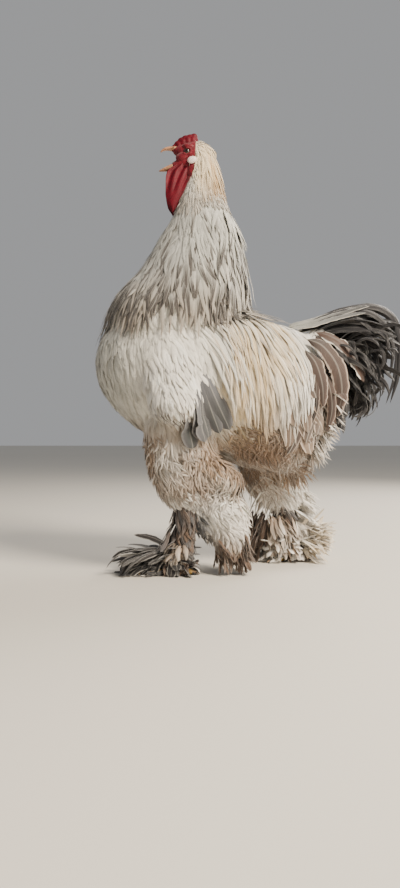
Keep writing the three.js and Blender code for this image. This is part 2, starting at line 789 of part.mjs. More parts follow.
const makeLobe = (side) => solid(ellipsoid([-1.5, side * 17.5, -16.5], [6.4, 3.6, 7.4], 10, 7));
const makeEye = (side) => solid(ellipsoid([eye.x, side * eye.out, eye.z], Array(3).fill(eye.radius), 10, 7));

// The figure
const group = new THREE.Group();

function add(parent, name, body, look) {
  const material = new THREE.MeshStandardMaterial({ metalness: 0, ...finish[look] });
  const mesh = new THREE.Mesh(geometryOf(body), material);
  mesh.name = name;
  parent.add(mesh);
}

const trunk = makeTrunk();
add(group, "torso", trunk, "white");

const headGroup = new THREE.Group();
headGroup.position.set(head.x, 0, head.z);
group.add(headGroup);

const eyes = { left: makeEye(left), right: makeEye(right) };
const skull = seated(makeSkull(), eyes.left, eyes.right);
const wattles = { left: seated(makeWattle(left), skull), right: seated(makeWattle(right), skull) };
const lobes = {
  left: seated(makeLobe(left), skull, wattles.left),
  right: seated(makeLobe(right), skull, wattles.right),
};
const upperBeak = seated(makeUpperBeak(), skull);
const comb = seated(makeComb(), skull, upperBeak);
const tongue = seated(makeTongue(), skull);
const lowerBeak = seated(makeLowerBeak(), skull, wattles.left, wattles.right, tongue);
add(headGroup, "head", skull, "red");
add(headGroup, "comb", comb, "red");
add(headGroup, "beak_upper", upperBeak, "horn");
add(headGroup, "beak_lower", lowerBeak, "horn");
add(headGroup, "tongue", tongue, "red");
for (const side of ["left", "right"]) {
  add(headGroup, `eye_${side}`, eyes[side], "eye");
  add(headGroup, `wattle_${side}`, wattles[side], "red");
  add(headGroup, `earlobe_${side}`, lobes[side], "lobe");
}

const inPlace = (body) => body.translate([head.x, 0, head.z]);
const headPieces = [skull, wattles.left, wattles.right, lobes.left, lobes.right, comb].map(inPlace);
const neck = seated(makeNeck(), trunk, ...headPieces);
add(group, "neck", neck, "white");

const wings = { left: seated(makeWing(left), trunk, neck), right: seated(makeWing(right), trunk, neck) };
const tail = seated(makeTail(), trunk);
add(group, "wing_left", wings.left, "grey");
add(group, "wing_right", wings.right, "grey");
add(group, "saddle", seated(makeSaddle(), trunk, neck, wings.left, wings.right, tail), "cream");
add(group, "tail", tail, "black");

for (const [name, leg] of Object.entries(legs)) {
  const thigh = seated(makeThigh(leg), trunk);
  const foot = makeFoot(leg);
  const shank = seated(makeShank(leg), thigh, foot, trunk);
  add(group, `thigh_${name}`, thigh, "fluff");
  add(group, `shank_${name}`, shank, "white");
  add(group, `foot_${name}`, foot, "black");
  for (const toe of toes)
    add(group, `claw_${name}_${toe.name}`, seated(overFloor(makeClaw(leg, toe), 0.4), foot), "horn");
}

export default group;
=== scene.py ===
import math

import bmesh
import bpy
import numpy as np
from mathutils import Matrix, Vector, kdtree
from mathutils.bvhtree import BVHTree


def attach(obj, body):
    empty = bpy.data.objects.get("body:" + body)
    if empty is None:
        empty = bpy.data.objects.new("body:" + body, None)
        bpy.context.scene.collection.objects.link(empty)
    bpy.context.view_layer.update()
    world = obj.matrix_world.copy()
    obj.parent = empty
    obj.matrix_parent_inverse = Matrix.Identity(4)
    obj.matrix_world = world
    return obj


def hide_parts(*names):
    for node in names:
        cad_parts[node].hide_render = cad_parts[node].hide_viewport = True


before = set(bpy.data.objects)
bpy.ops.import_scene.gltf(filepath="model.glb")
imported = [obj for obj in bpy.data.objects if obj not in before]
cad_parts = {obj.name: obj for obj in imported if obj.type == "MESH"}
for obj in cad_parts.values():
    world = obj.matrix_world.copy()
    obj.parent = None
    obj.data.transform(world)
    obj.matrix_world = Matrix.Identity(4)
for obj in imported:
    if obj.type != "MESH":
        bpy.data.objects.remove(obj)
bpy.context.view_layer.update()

# Sizes are in mm and become metres where a mesh is made. The bird faces -X, its left side is -Y.
mm = 0.001
sides = (-1, 1)
sideWords = ((-1, "left"), (1, "right"))


def linear(code):
    channels = [int(code[i : i + 2], 16) / 255 for i in (1, 3, 5)]
    return [c / 12.92 if c <= 0.04045 else ((c + 0.055) / 1.055) ** 2.4 for c in channels]


def rgba(code):
    return (*linear(code), 1.0)


def unit(v):
    return v / np.maximum(np.linalg.norm(v, axis=-1, keepdims=True), 1e-9)


def dot(a, b):
    return np.sum(a * b, axis=-1, keepdims=True)


def ramp(x, low, high):
    t = np.clip((x - low) / (high - low), 0, 1)
    return t * t * (3 - 2 * t)


def mixed(a, b, share):
    return a + (b - a) * share


view = {"place": (-0.0846, -1.085, 0.207), "lens": 26, "sensor": 36}  # level, low, about a metre away

camera = bpy.data.cameras.new("camera")
camera.sensor_fit = "VERTICAL"
camera.sensor_height = view["sensor"]
camera.lens = view["lens"]
cameraObject = bpy.data.objects.new("camera", camera)
cameraObject.location = view["place"]
cameraObject.rotation_euler = (math.radians(90), 0, 0)
bpy.context.collection.objects.link(cameraObject)
bpy.context.scene.camera = cameraObject

studio = {
    "lamps": {  # place, size, power, colour
        "key": ((1.25, -1.35, 1.95), 0.8, 132, "#fff1dc"),
        "fill": ((1.7, -1.3, 0.5), 1.2, 34, "#fff4e6"),
        "back": ((1.3, 1.3, 1.5), 1.1, 52, "#fff6ea"),
    },
    "aim": (0, 0, 0.34),
    "air": "#f1f2f4",
    "airStrength": 0.4,
    "floor": ("#cfcac0", "#d6d1c8"),
    "reach": 80,  # half the floor's width, in metres
}


def addNode(tree, kind, inputs=(), **settings):
    # inputs are values, sockets or nodes, under the sockets' names or in their order
    node = tree.nodes.new("ShaderNode" + kind)
    for name, value in settings.items():
        setattr(node, name, value)
    for key, value in inputs.items() if isinstance(inputs, dict) else enumerate(inputs):
        if isinstance(value, bpy.types.Node):
            value = next(socket for socket in value.outputs if socket.enabled)
        if isinstance(value, bpy.types.NodeSocket):
            tree.links.new(value, node.inputs[key])
        else:
            node.inputs[key].default_value = value
    return node


def newMaterial(name):
    material = bpy.data.materials.new(name)
    material.use_nodes = True
    material.node_tree.nodes.clear()
    return material, material.node_tree


def scaleOf(size):
    # the scale of a texture whose pattern is this many mm wide
    return 1 / (size * mm)


def lightStudio():
    for name, (place, size, power, colour) in studio["lamps"].items():
        lamp = bpy.data.lights.new(name, "AREA")
        lamp.size = size
        lamp.energy = power
        lamp.color = linear(colour)
        lampObject = bpy.data.objects.new(name, lamp)
        lampObject.location = place
        toAim = Vector(studio["aim"]) - Vector(place)
        lampObject.rotation_euler = toAim.to_track_quat("-Z", "Y").to_euler()
        bpy.context.collection.objects.link(lampObject)
    world = bpy.data.worlds.new("studio air")
    world.use_nodes = True
    background = world.node_tree.nodes["Background"]
    background.inputs["Color"].default_value = rgba(studio["air"])
    background.inputs["Strength"].default_value = studio["airStrength"]
    bpy.context.scene.world = world

    # rolled emulsion paint: quite matt, with faint clouds 25 mm wide
    paint, tree = newMaterial("matt studio paint")
    clouds = addNode(tree, "TexNoise", {"Scale": scaleOf(25), "Detail": 3.0})
    one, other = studio["floor"]
    shade = addNode(tree, "Mix", {"Factor": clouds, "A": rgba(one), "B": rgba(other)}, data_type="RGBA")
    shader = addNode(tree, "BsdfPrincipled", {"Base Color": shade, "Roughness": 0.9})
    addNode(tree, "OutputMaterial", {"Surface": shader})
    bm = bmesh.new()
    bmesh.ops.create_grid(bm, x_segments=4, y_segments=4, size=studio["reach"])
    mesh = bpy.data.meshes.new("floor")
    bm.to_mesh(mesh)
    bm.free()
    mesh.materials.append(paint)
    floor = bpy.data.objects.new("floor", mesh)
    bpy.context.collection.objects.link(floor)


lightStudio()
print("studio ready")


def finished(name, bm, material, nodes=(), levels=0):
    mesh = bpy.data.meshes.new(name)
    bmesh.ops.recalc_face_normals(bm, faces=bm.faces)
    bm.to_mesh(mesh)
    bm.free()
    placed(name, mesh, material, nodes, levels)


def placed(name, mesh, material, nodes=(), levels=0):
    # makes the mesh a piece that stands for the CAD's nodes; levels are of subdivision
    mesh.polygons.foreach_set("use_smooth", [True] * len(mesh.polygons))
    mesh.materials.clear()
    mesh.materials.append(material)
    piece = bpy.data.objects.new(name, mesh)
    bpy.context.collection.objects.link(piece)
    if levels:
        rounder = piece.modifiers.new("subsurf", "SUBSURF")
        rounder.levels = rounder.render_levels = levels
    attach(piece, "root")
    if nodes:
        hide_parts(*nodes)


def edgesOf(verts):
    # each edge once, in an order that is the same on every run
    return list(dict.fromkeys(e for v in verts for e in v.link_edges))


def ringed(bm, rings, segments=32):
    # joins circles in a row into one closed body; each ring is (middle, across, up) in mm
    loops = []
    for middle, across, up in rings:
        c, a, u = (Vector(v) * mm for v in (middle, across, up))
        n = a.cross(u).normalized()
        place = Matrix(((a.x, u.x, n.x, c.x), (a.y, u.y, n.y, c.y), (a.z, u.z, n.z, c.z), (0, 0, 0, 1)))
        made = bmesh.ops.create_circle(bm, segments=segments, radius=1, matrix=place)
        loops.append(edgesOf(made["verts"]))
    for one, other in zip(loops, loops[1:]):
        bmesh.ops.bridge_loops(bm, edges=one + other)
    for end in (loops[0], loops[-1]):
        bmesh.ops.edgeloop_fill(bm, edges=end)


def tube(bm, points, radii, segments=16, flat=1.0):
    points = [Vector(p) for p in points]
    rings = []
    for i, p in enumerate(points):
        way = (points[min(i + 1, len(points) - 1)] - points[max(i - 1, 0)]).normalized()
        across = Vector((0, 1, 0))
        if abs(way.y) > 0.9:
            across = Vector((1, 0, 0))
        up = way.cross(across).normalized()
        across = up.cross(way).normalized()
        rings.append((p, across * radii[i], up * radii[i] * flat))
    ringed(bm, rings, segments)


def ball(bm, middle, radii, tilt=0.0, detail=3):
    place = (
        Matrix.Translation(Vector(middle) * mm)
        @ Matrix.Rotation(math.radians(tilt), 4, "Y")
        @ Matrix.Diagonal((radii[0] * mm, radii[1] * mm, radii[2] * mm, 1))
    )
    bmesh.ops.create_icosphere(bm, subdivisions=detail, radius=1, matrix=place)


def fused(bm, voxel, softening):
    # one closed skin round everything in the bmesh
    mesh = bpy.data.meshes.new("rough")
    bm.to_mesh(mesh)
    bm.free()
    rough = bpy.data.objects.new("rough", mesh)
    bpy.context.collection.objects.link(rough)
    remesh = rough.modifiers.new("fuse", "REMESH")
    remesh.mode = "VOXEL"
    remesh.voxel_size = voxel * mm
    soften = rough.modifiers.new("soften", "SMOOTH")
    soften.factor = 0.5
    soften.iterations = softening
    seen = rough.evaluated_get(bpy.context.evaluated_depsgraph_get())
    whole = bpy.data.meshes.new_from_object(seen)
    bpy.data.objects.remove(rough)
    bpy.data.meshes.remove(mesh)
    return whole


trunk = {
    "stations": [  # x, underside, back, half width
        (-257, 332, 350, 8), (-254, 309, 372, 38), (-240, 279, 402, 70), (-211, 246, 428, 95),
        (-178, 222, 440, 108), (-127, 202, 442, 115), (-68, 186, 436, 115), (0, 166, 424, 111),
        (51, 156, 412, 99), (84, 160, 398, 82), (106, 190, 382, 64), (120, 226, 366, 48), (131, 262, 336, 26),
    ],
    "inset": 6,  # depth of the coat over the skin
    "rump": ((116, 0, 356), (34, 30, 48)),  # middle and radii of the tail's root
    "voxel": 5.5,  # of the skin's mesh, and how many times it is smoothed
    "softening": 10,
}
neck = {
    "stations": [  # height, front, back, half width, over the feathers
        (380, -234, -44, 104), (397, -240, -30, 110), (417, -242, -16, 109), (437, -237, -6, 103),
        (459, -225, -3, 94), (485, -201, -6, 83), (518, -179, -7, 70), (552, -159, -11, 56),
        (578, -143, -19, 46), (603, -130, -32, 37), (628, -121, -39, 29), (662, -115, -46, 22),
        (684, -110, -53, 18), (700, -104, -58, 15),
    ],
    "inset": 7,
    "topInset": 3,
}
thigh = {
    "stations": [  # height, front, back, half width, for the left thigh
        (268, -160, -80, 26), (238, -180, -60, 46), (220, -180, -58, 51), (189, -176, -52, 53),
        (149, -167, -46, 48), (125, -154, -46, 40), (104, -134, -66, 22),
    ],
    "inset": 9,
    "middle": 62,  # distance out
    "shift": {-1: 0, 1: 150},  # the right leg stands farther back
}
leg = {  # -1 is the left side, 1 the right
    "ankle": {-1: (-121, -60, 12), 1: (80, 60, 12)},
    "hock": {-1: (-103, -62, 116), 1: (62, 62, 118)},
    "turn": {-1: 4, 1: -4},  # degrees outwards
    "reach": {-1: 114, 1: 82},  # how far the foot's feathers go before the ankle
    "radius": 9.5,
    "voxel": 1.7,
    "softening": 3,
    "floorGap": 0.0002,  # in metres; no scale of the foot reaches lower
}
wingCores = [  # the folded wing's flesh: middle, radii, tilt
    ((-122, 98, 312), (50, 20, 72), -22),
    ((-126, 104, 294), (42, 23, 42), -8),
    ((-124, 109, 268), (37, 33, 29), 0),
]
boots = {  # cores of the thick plumage of thigh, hock and heel: middle, radii, tilt
    -1: [
        ((-62, -70, 162), (50, 26, 22), 30),
        ((-46, -66, 100), (37, 26, 27), 12),
        ((-34, -66, 56), (27, 20, 32), -12),
        ((-76, -64, 92), (20, 17, 34), 0),
    ],
    1: [((66, 62, 118), (37, 27, 34), -8), ((98, 62, 52), (33, 20, 24), -25)],
}
toe = {
    "kinds": [(46, -30, 7.0), (62, -2, 7.5), (52, 24, 7.0), (26, 168, 6.0)],  # length, turn, radius
    "pads": [(0.25, 6.8), (0.45, 5.2), (0.62, 5.8), (0.82, 5.0), (1, 3.8)],  # share of the length, radius
    "press": 0.84,  # how much a toe flattens on the floor
}


def toeWay(side, turn):
    angle = math.radians(leg["turn"][side] * side + turn)
    return -math.cos(angle), side * math.sin(angle)


def makeBodySkin():
    bm = bmesh.new()
    inset = trunk["inset"]
    ringed(bm, [
        ((x, 0, (under + back) / 2), (0, max(half - inset, 2), 0), (0, 0, max((back - under) / 2 - inset, 2)))
        for x, under, back, half in trunk["stations"]
    ])
    rings = []
    for z, front, back, half in neck["stations"]:
        inset = float(mixed(neck["inset"], neck["topInset"], ramp(z, 520, 680)))
        rings.append((((front + back) / 2, 0, z), ((back - front) / 2 - inset, 0, 0), (0, half - inset, 0)))
    ringed(bm, rings)
    ball(bm, *trunk["rump"])
    for side in sides:
        inset = thigh["inset"]
        shift = thigh["shift"][side]
        y = side * thigh["middle"]
        ringed(bm, [
            (((front + back) / 2 + shift, y, z), ((back - front) / 2 - inset, 0, 0), (0, half - inset, 0))
            for z, front, back, half in thigh["stations"]
        ])
        for middle, radii, tilt in wingCores:
            ball(bm, (middle[0], side * middle[1], middle[2]), radii, tilt)
        for middle, radii, tilt in boots[side]:
            ball(bm, middle, radii, tilt)
    return fused(bm, trunk["voxel"], trunk["softening"])


def makeFootSkin():
    bm = bmesh.new()
    for side in sides:
        ankle, hock = Vector(leg["ankle"][side]), Vector(leg["hock"][side])
        above, below = hock + Vector((0, 0, 16)), ankle - Vector((0, 0, 5))
        line = [above, hock, hock.lerp(ankle, 0.3), hock.lerp(ankle, 0.7), ankle, below]
        tube(bm, line, [leg["radius"] + more for more in (6, 4, 0, -1, 1.5, 0)])
        for length, turn, radius in toe["kinds"]:
            dx, dy = toeWay(side, turn)
            pads = [(0, radius), *toe["pads"]]
            line = [(ankle.x + dx * length * s, ankle.y + dy * length * s, r * toe["press"]) for s, r in pads]
            tube(bm, line, [r for _, r in pads], 12)
    mesh = fused(bm, leg["voxel"], leg["softening"])
    for vert in mesh.vertices:
        vert.co.z = max(vert.co.z, leg["floorGap"])
    return mesh


eye = {
    "x": -106.3, "y": 11.6, "z": 696.0, "radius": 6.0, "opening": 4.5,
    "rim": 1.5, "rimOut": 16.4, "flat": 0.86,  # lids: thickness, distance out, height over width
    "depth": 5.5,  # how far the socket goes in
}
face = {
    "voxel": 1.15,
    "softening": 3,
    "balls": [  # middle, radii, tilt
        ((-94, 0, 697), (30, 16.5, 21), 0),
        ((-110, 0, 700), (18, 12.5, 13), 12),
        ((-121, 0, 702), (10, 8.5, 8), 17),
    ],
    "cheeks": [
        ((-112, 9, 689), (12, 6.5, 8), -20),
        ((-103, 12, 705), (11, 5, 4), 8),  # brow
        ((-119, 8, 686), (6, 4, 8), -30),  # mouth's corner
    ],
    "tubes": [
        ([(-96, 0, 678), (-112, 0, 680), (-122, 0, 677), (-130, 0, 675)], [14, 12.5, 9.8, 7.6]),  # lower jaw
        ([(-98, 0, 692), (-97, 0, 672), (-90, 0, 652), (-84, 0, 630)], [15, 16, 19, 24]),  # throat
    ],
}


def makeHeadSkin():
    bm = bmesh.new()
    for middle, radii, tilt in face["balls"]:
        ball(bm, middle, radii, tilt)
    for side in sides:
        for (x, y, z), radii, tilt in face["cheeks"]:
            ball(bm, (x, side * y, z), radii, tilt)
        lids(bm, side)
    for line, radii in face["tubes"]:
        tube(bm, line, radii)
    mesh = fused(bm, face["voxel"], face["softening"])
    hollowEyes(mesh)
    return mesh


def lids(bm, side):
    # a rim round the eye, narrower from top to bottom; it is spun flat at the origin and then put in place
    rim = eye["rim"]
    place = Matrix.Translation(Vector((eye["x"], side * eye["rimOut"], eye["z"])) * mm)
    start = Matrix.Translation(Vector(((eye["opening"] + rim) * mm, 0, 0)))
    made = bmesh.ops.create_circle(bm, segments=8, radius=rim * mm, matrix=start)
    bmesh.ops.spin(
        bm, geom=made["verts"] + edgesOf(made["verts"]), cent=(0, 0, 0), axis=(0, 0, 1),
        angle=2 * math.pi, steps=28, use_merge=True,
    )
    nearOrigin = 0.02  # in metres; all the rest of the head is farther away
    verts = [v for v in bm.verts if v.co.length < nearOrigin]
    bmesh.ops.rotate(bm, verts=verts, cent=(0, 0, 0), matrix=Matrix.Rotation(math.radians(90), 3, "X"))
    bmesh.ops.scale(bm, verts=verts, vec=(1.08, 1, eye["flat"]))
    bmesh.ops.transform(bm, verts=verts, matrix=place)


def hollowEyes(mesh):
    co = np.empty(len(mesh.vertices) * 3)
    mesh.vertices.foreach_get("co", co)
    co = co.reshape(-1, 3)
    reach = np.hypot((co[:, 0] / mm - eye["x"]) / 1.06, (co[:, 2] / mm - eye["z"]) / eye["flat"])
    inside = 1 - ramp(reach, eye["opening"] - 1.2, eye["opening"] + 0.5)
    pushed = np.where(np.abs(co[:, 1]) / mm > 9, inside, 0)
    co[:, 1] -= np.sign(co[:, 1]) * pushed * eye["depth"] * mm
    mesh.vertices.foreach_set("co", co.reshape(-1))


shades = {
    "white": "#e4e0d5", "bright": "#f4f0e7", "cream": "#dfc9a0", "gold": "#c08e4a", "ash": "#aeafa8",
    "fluff": "#9f856c", "umber": "#684d36", "hock": "#f5f0e7", "soot": "#1c1b1e", "slate": "#65666a",
    "cocoa": "#503d33", "rose": "#85695c", "dusk": "#96826f", "red": "#6f041a", "scale": "#c9a35c",
}
tones = {name: np.array(linear(code)) for name, code in shades.items()}


def colourAt(p):
    # the coat's main colour at points in mm, laid on from the neck down to the hocks, with painted shade on
    # the breast's front, on the neck and low on the breast
    x, y, z = p[:, 0:1], p[:, 1:2], p[:, 2:3]
    c = np.repeat(tones["white"][None], len(p), 0)
    # painted shade: grey over the front of the breast, which stands in shade
    c = mixed(c, tones["ash"], ramp(-x, 150, 230) * (1 - ramp(z, 400, 440)) * 0.7)
    # grey band round the neck: partly the hackle's own grey-white, partly painted shade
    c = mixed(c, tones["ash"], ramp(z, 400, 470) * (1 - ramp(z, 590, 640)) * 0.85)
    c = mixed(c, tones["cream"], ramp(z, 620, 670) * ramp(x, -108, -80) * 0.8)
    c = mixed(c, tones["gold"], ramp(z, 632, 655) * ramp(x, -80, -56) * (1 - ramp(z, 690, 712)) * 0.8)
    # painted shade: slate darkens the front of the neck
    c = mixed(c, tones["slate"], ramp(-x, 84, 112) * ramp(z, 440, 500) * 0.3)
    onBody = 1 - ramp(z, 420, 450)
    golden = ramp(x, -75, -45) * (1 - ramp(x, 5, 40)) * onBody
    c = mixed(c, tones["cream"], golden * np.clip(0.62 + 0.35 * drift(p, 30, 2), 0, 1))
    c = mixed(c, tones["bright"], ramp(x, 25, 55) * ramp(z, 250, 300) * onBody * 0.95)
    down = mixed(tones["fluff"], tones["hock"], np.clip(0.12 + 0.5 * drift(p, 62, 3), 0, 1))
    down = mixed(down, tones["umber"], np.clip(0.2 + 0.6 * drift(p, 84, 4), 0, 0.8))
    # beige brown low on the front of the breast and on the thigh's top: partly its own colour, partly painted
    # shade under the wing
    c = mixed(c, tones["fluff"], (1 - ramp(z, 236, 300)) * (1 - ramp(x, -90, -60)) * 0.6)
    c = mixed(c, down, 1 - ramp(z, 200, 262))
    flank = ramp(x, -60, -20) * (1 - ramp(x, 70, 110))
    c = mixed(c, tones["umber"], ramp(z, 180, 208) * (1 - ramp(z, 235, 275)) * flank * 0.7)
    c = mixed(c, tones["bright"], ramp(y, 10, 30) * ramp(x, 20, 40) * (1 - ramp(z, 150, 180)) * 0.9)
    c = mixed(c, tones["hock"], (1 - ramp(z, 112, 150)) * 0.9)
    c = mixed(c, tones["soot"], ramp(x, 116, 140) * ramp(z, 240, 290))
    return c


def faceEdge(height):
    # where the bare face ends and the plumes begin
    return -92 + (height - 690) * 0.05 - 60 * ramp(-height, -672, -560)


def skinColour(p, scaly):
    x, z = p[:, 0:1], p[:, 2:3]
    c = colourAt(p)
    edge = faceEdge(z)
    bare = (1 - ramp(x, edge - 1.5, edge + 1.5)) * ramp(z, 612, 616)
    c = mixed(c, tones["red"], bare)
    return mixed(c, tones["scale"], 1 - ramp(z, 60, 75)) if scaly else c  # toes are yellow


def points(mesh):
    co = np.empty(len(mesh.vertices) * 3, np.float32)
    mesh.vertices.foreach_get("co", co)
    return co.reshape(-1, 3).astype(float) / mm


def tinted(mesh, colours, name="tint"):
    layer = mesh.color_attributes.new(name, "FLOAT_COLOR", "POINT")
    opaque = np.hstack([colours, np.ones((len(colours), 1))])
    layer.data.foreach_set("color", opaque.astype(np.float32).reshape(-1))


def skinMaterial():
    # bare poultry skin: satin, red where blood shows through, with bumps 1.25 mm apart and painted shade in
    # the valleys between them
    material, tree = newMaterial("bare poultry skin")
    tint = addNode(tree, "Attribute", attribute_name="tint")
    place = addNode(tree, "TexCoord").outputs["Object"]
    bumps = addNode(tree, "TexVoronoi", {"Vector": place, "Scale": scaleOf(1.25)}, feature="SMOOTH_F1")
    blotch = addNode(tree, "TexNoise", {"Vector": place, "Scale": scaleOf(6.25), "Detail": 4.0})
    shade = addNode(tree, "MapRange", [blotch, 0.3, 0.7, 0.62, 1.12])
    # painted shade: darker in the valleys between the bumps, lighter on their tops
    valleyShade = addNode(tree, "MapRange", [bumps, 0.1, 0.6, 1.08, 0.8])
    both = addNode(tree, "Math", [shade, valleyShade], operation="MULTIPLY")
    colour = addNode(tree, "VectorMath", {0: tint, "Scale": both}, operation="SCALE")
    bump = addNode(tree, "Bump", {"Height": bumps, "Strength": 0.5, "Distance": 0.5 * mm}, invert=True)
    shader = addNode(tree, "BsdfPrincipled", {
        "Base Color": colour, "Normal": bump, "Roughness": 0.5, "IOR": 1.4, "Specular IOR Level": 0.45,
        "Sheen Weight": 0.15,
    })
    addNode(tree, "OutputMaterial", {"Surface": shader})
    return material


def featherMaterial(
    name, barbs, sweep, depth, spread=0.8, stripe="#3c302c", shaft="#efe9dc", lace="#e9e4da", rough=0.62,
    sheen=0.3,
):
    # vane of keratin barbs: a soft sheen, a pale shaft, fine slanting lines and darker streaks;
    # real barbs are 0.4 mm apart, too fine to show, so they are drawn 1 to 5 mm apart
    material, tree = newMaterial(name)
    tint = addNode(tree, "Attribute", attribute_name="tint")
    marks = addNode(tree, "Attribute", attribute_name="marks")
    mark = addNode(tree, "SeparateColor", [marks])
    uv = addNode(tree, "UVMap", uv_map="vane")
    part = addNode(tree, "SeparateXYZ", [uv])
    across, along = part.outputs[0], part.outputs[1]
    side = addNode(tree, "Math", [across, 0.5], operation="SUBTRACT")
    side = addNode(tree, "Math", [side], operation="ABSOLUTE")
    side = addNode(tree, "Math", [side, 2.0], operation="MULTIPLY")  # 0 at the shaft, 1 at the edge
    place = addNode(tree, "TexCoord").outputs["Object"]
    wander = addNode(tree, "TexNoise", {"Vector": place, "Scale": scaleOf(11.111), "Detail": 2.0})
    # barbs slant from the shaft towards the tip
    slant = addNode(tree, "Math", [side, -sweep, 0.0], operation="MULTIPLY_ADD")
    line = addNode(tree, "Math", [along, barbs, slant], operation="MULTIPLY_ADD")
    line = addNode(tree, "Math", [wander, 5.0, line], operation="MULTIPLY_ADD")
    wave = addNode(tree, "Math", [line, 1.0], operation="PINGPONG")
    stem = addNode(tree, "MapRange", [side, 0.04, 0.12, 1.0, 0.0])
    # colour: painted shade between the barbs' ridges, where the bump sinks, and a little cloudy
    dim = addNode(tree, "MapRange", [wave, 0.0, 1.0, 1.0 - depth, 1.0])
    cloud = addNode(tree, "TexNoise", {"Vector": place, "Scale": scaleOf(22.222), "Detail": 3.0})
    cloud = addNode(tree, "MapRange", [cloud, 0.3, 0.7, 0.86, 1.06])
    level = addNode(tree, "Math", [dim, cloud], operation="MULTIPLY")
    base = addNode(tree, "VectorMath", {0: tint, "Scale": level}, operation="SCALE")
    laced = addNode(tree, "MapRange", [side, 0.72, 0.9])
    laced = addNode(tree, "Math", [laced, mark.outputs[1]], operation="MULTIPLY")
    base = addNode(tree, "Mix", {"Factor": laced, "A": base, "B": rgba(lace)}, data_type="RGBA")
    # centre streak, from a third of the length to the tip
    inner = addNode(tree, "Math", [wander, 0.5, 0.12], operation="MULTIPLY_ADD")
    streak = addNode(tree, "MapRange", [side, inner, spread, 1.0, 0.0])
    reach = addNode(tree, "MapRange", [along, 0.3, 0.62])
    streak = addNode(tree, "Math", [streak, reach], operation="MULTIPLY")
    streak = addNode(tree, "Math", [streak, mark.outputs[0]], operation="MULTIPLY")
    base = addNode(tree, "Mix", {"Factor": streak, "A": base, "B": rgba(stripe)}, data_type="RGBA")
    pale = addNode(tree, "Math", [stem, mark.outputs[2]], operation="MULTIPLY")
    base = addNode(tree, "Mix", {"Factor": pale, "A": base, "B": rgba(shaft)}, data_type="RGBA")
    height = addNode(tree, "Math", [stem, 0.8, wave], operation="MULTIPLY_ADD")
    bump = addNode(tree, "Bump", {"Height": height, "Strength": 0.5, "Distance": 0.6 * mm})
    shader = addNode(tree, "BsdfPrincipled", {
        "Base Color": base, "Normal": bump, "Roughness": rough, "IOR": 1.55, "Specular IOR Level": 0.3,
        "Sheen Weight": sheen, "Sheen Roughness": 0.5,
    })
    addNode(tree, "OutputMaterial", {"Surface": shader})
    return material


# Across a vane: place, height and the sixth point underneath
crossSection = np.array([(-1, 0), (-0.5, 1), (0, 1.25), (0.5, 1), (1, 0), (0, -0.6)])


def outline(share, swell, point):
    rise = np.sqrt(np.clip(1 - (1 - np.clip(share / swell, 0, 1)) ** 2, 0, 1))
    fall = 1 - np.clip((share - swell) / (1 - swell), 0, 1) ** point
    return rise * np.clip(fall, 0, 1) ** 0.7


bakePatch = 0.003  # width of one vane on the OFBake map


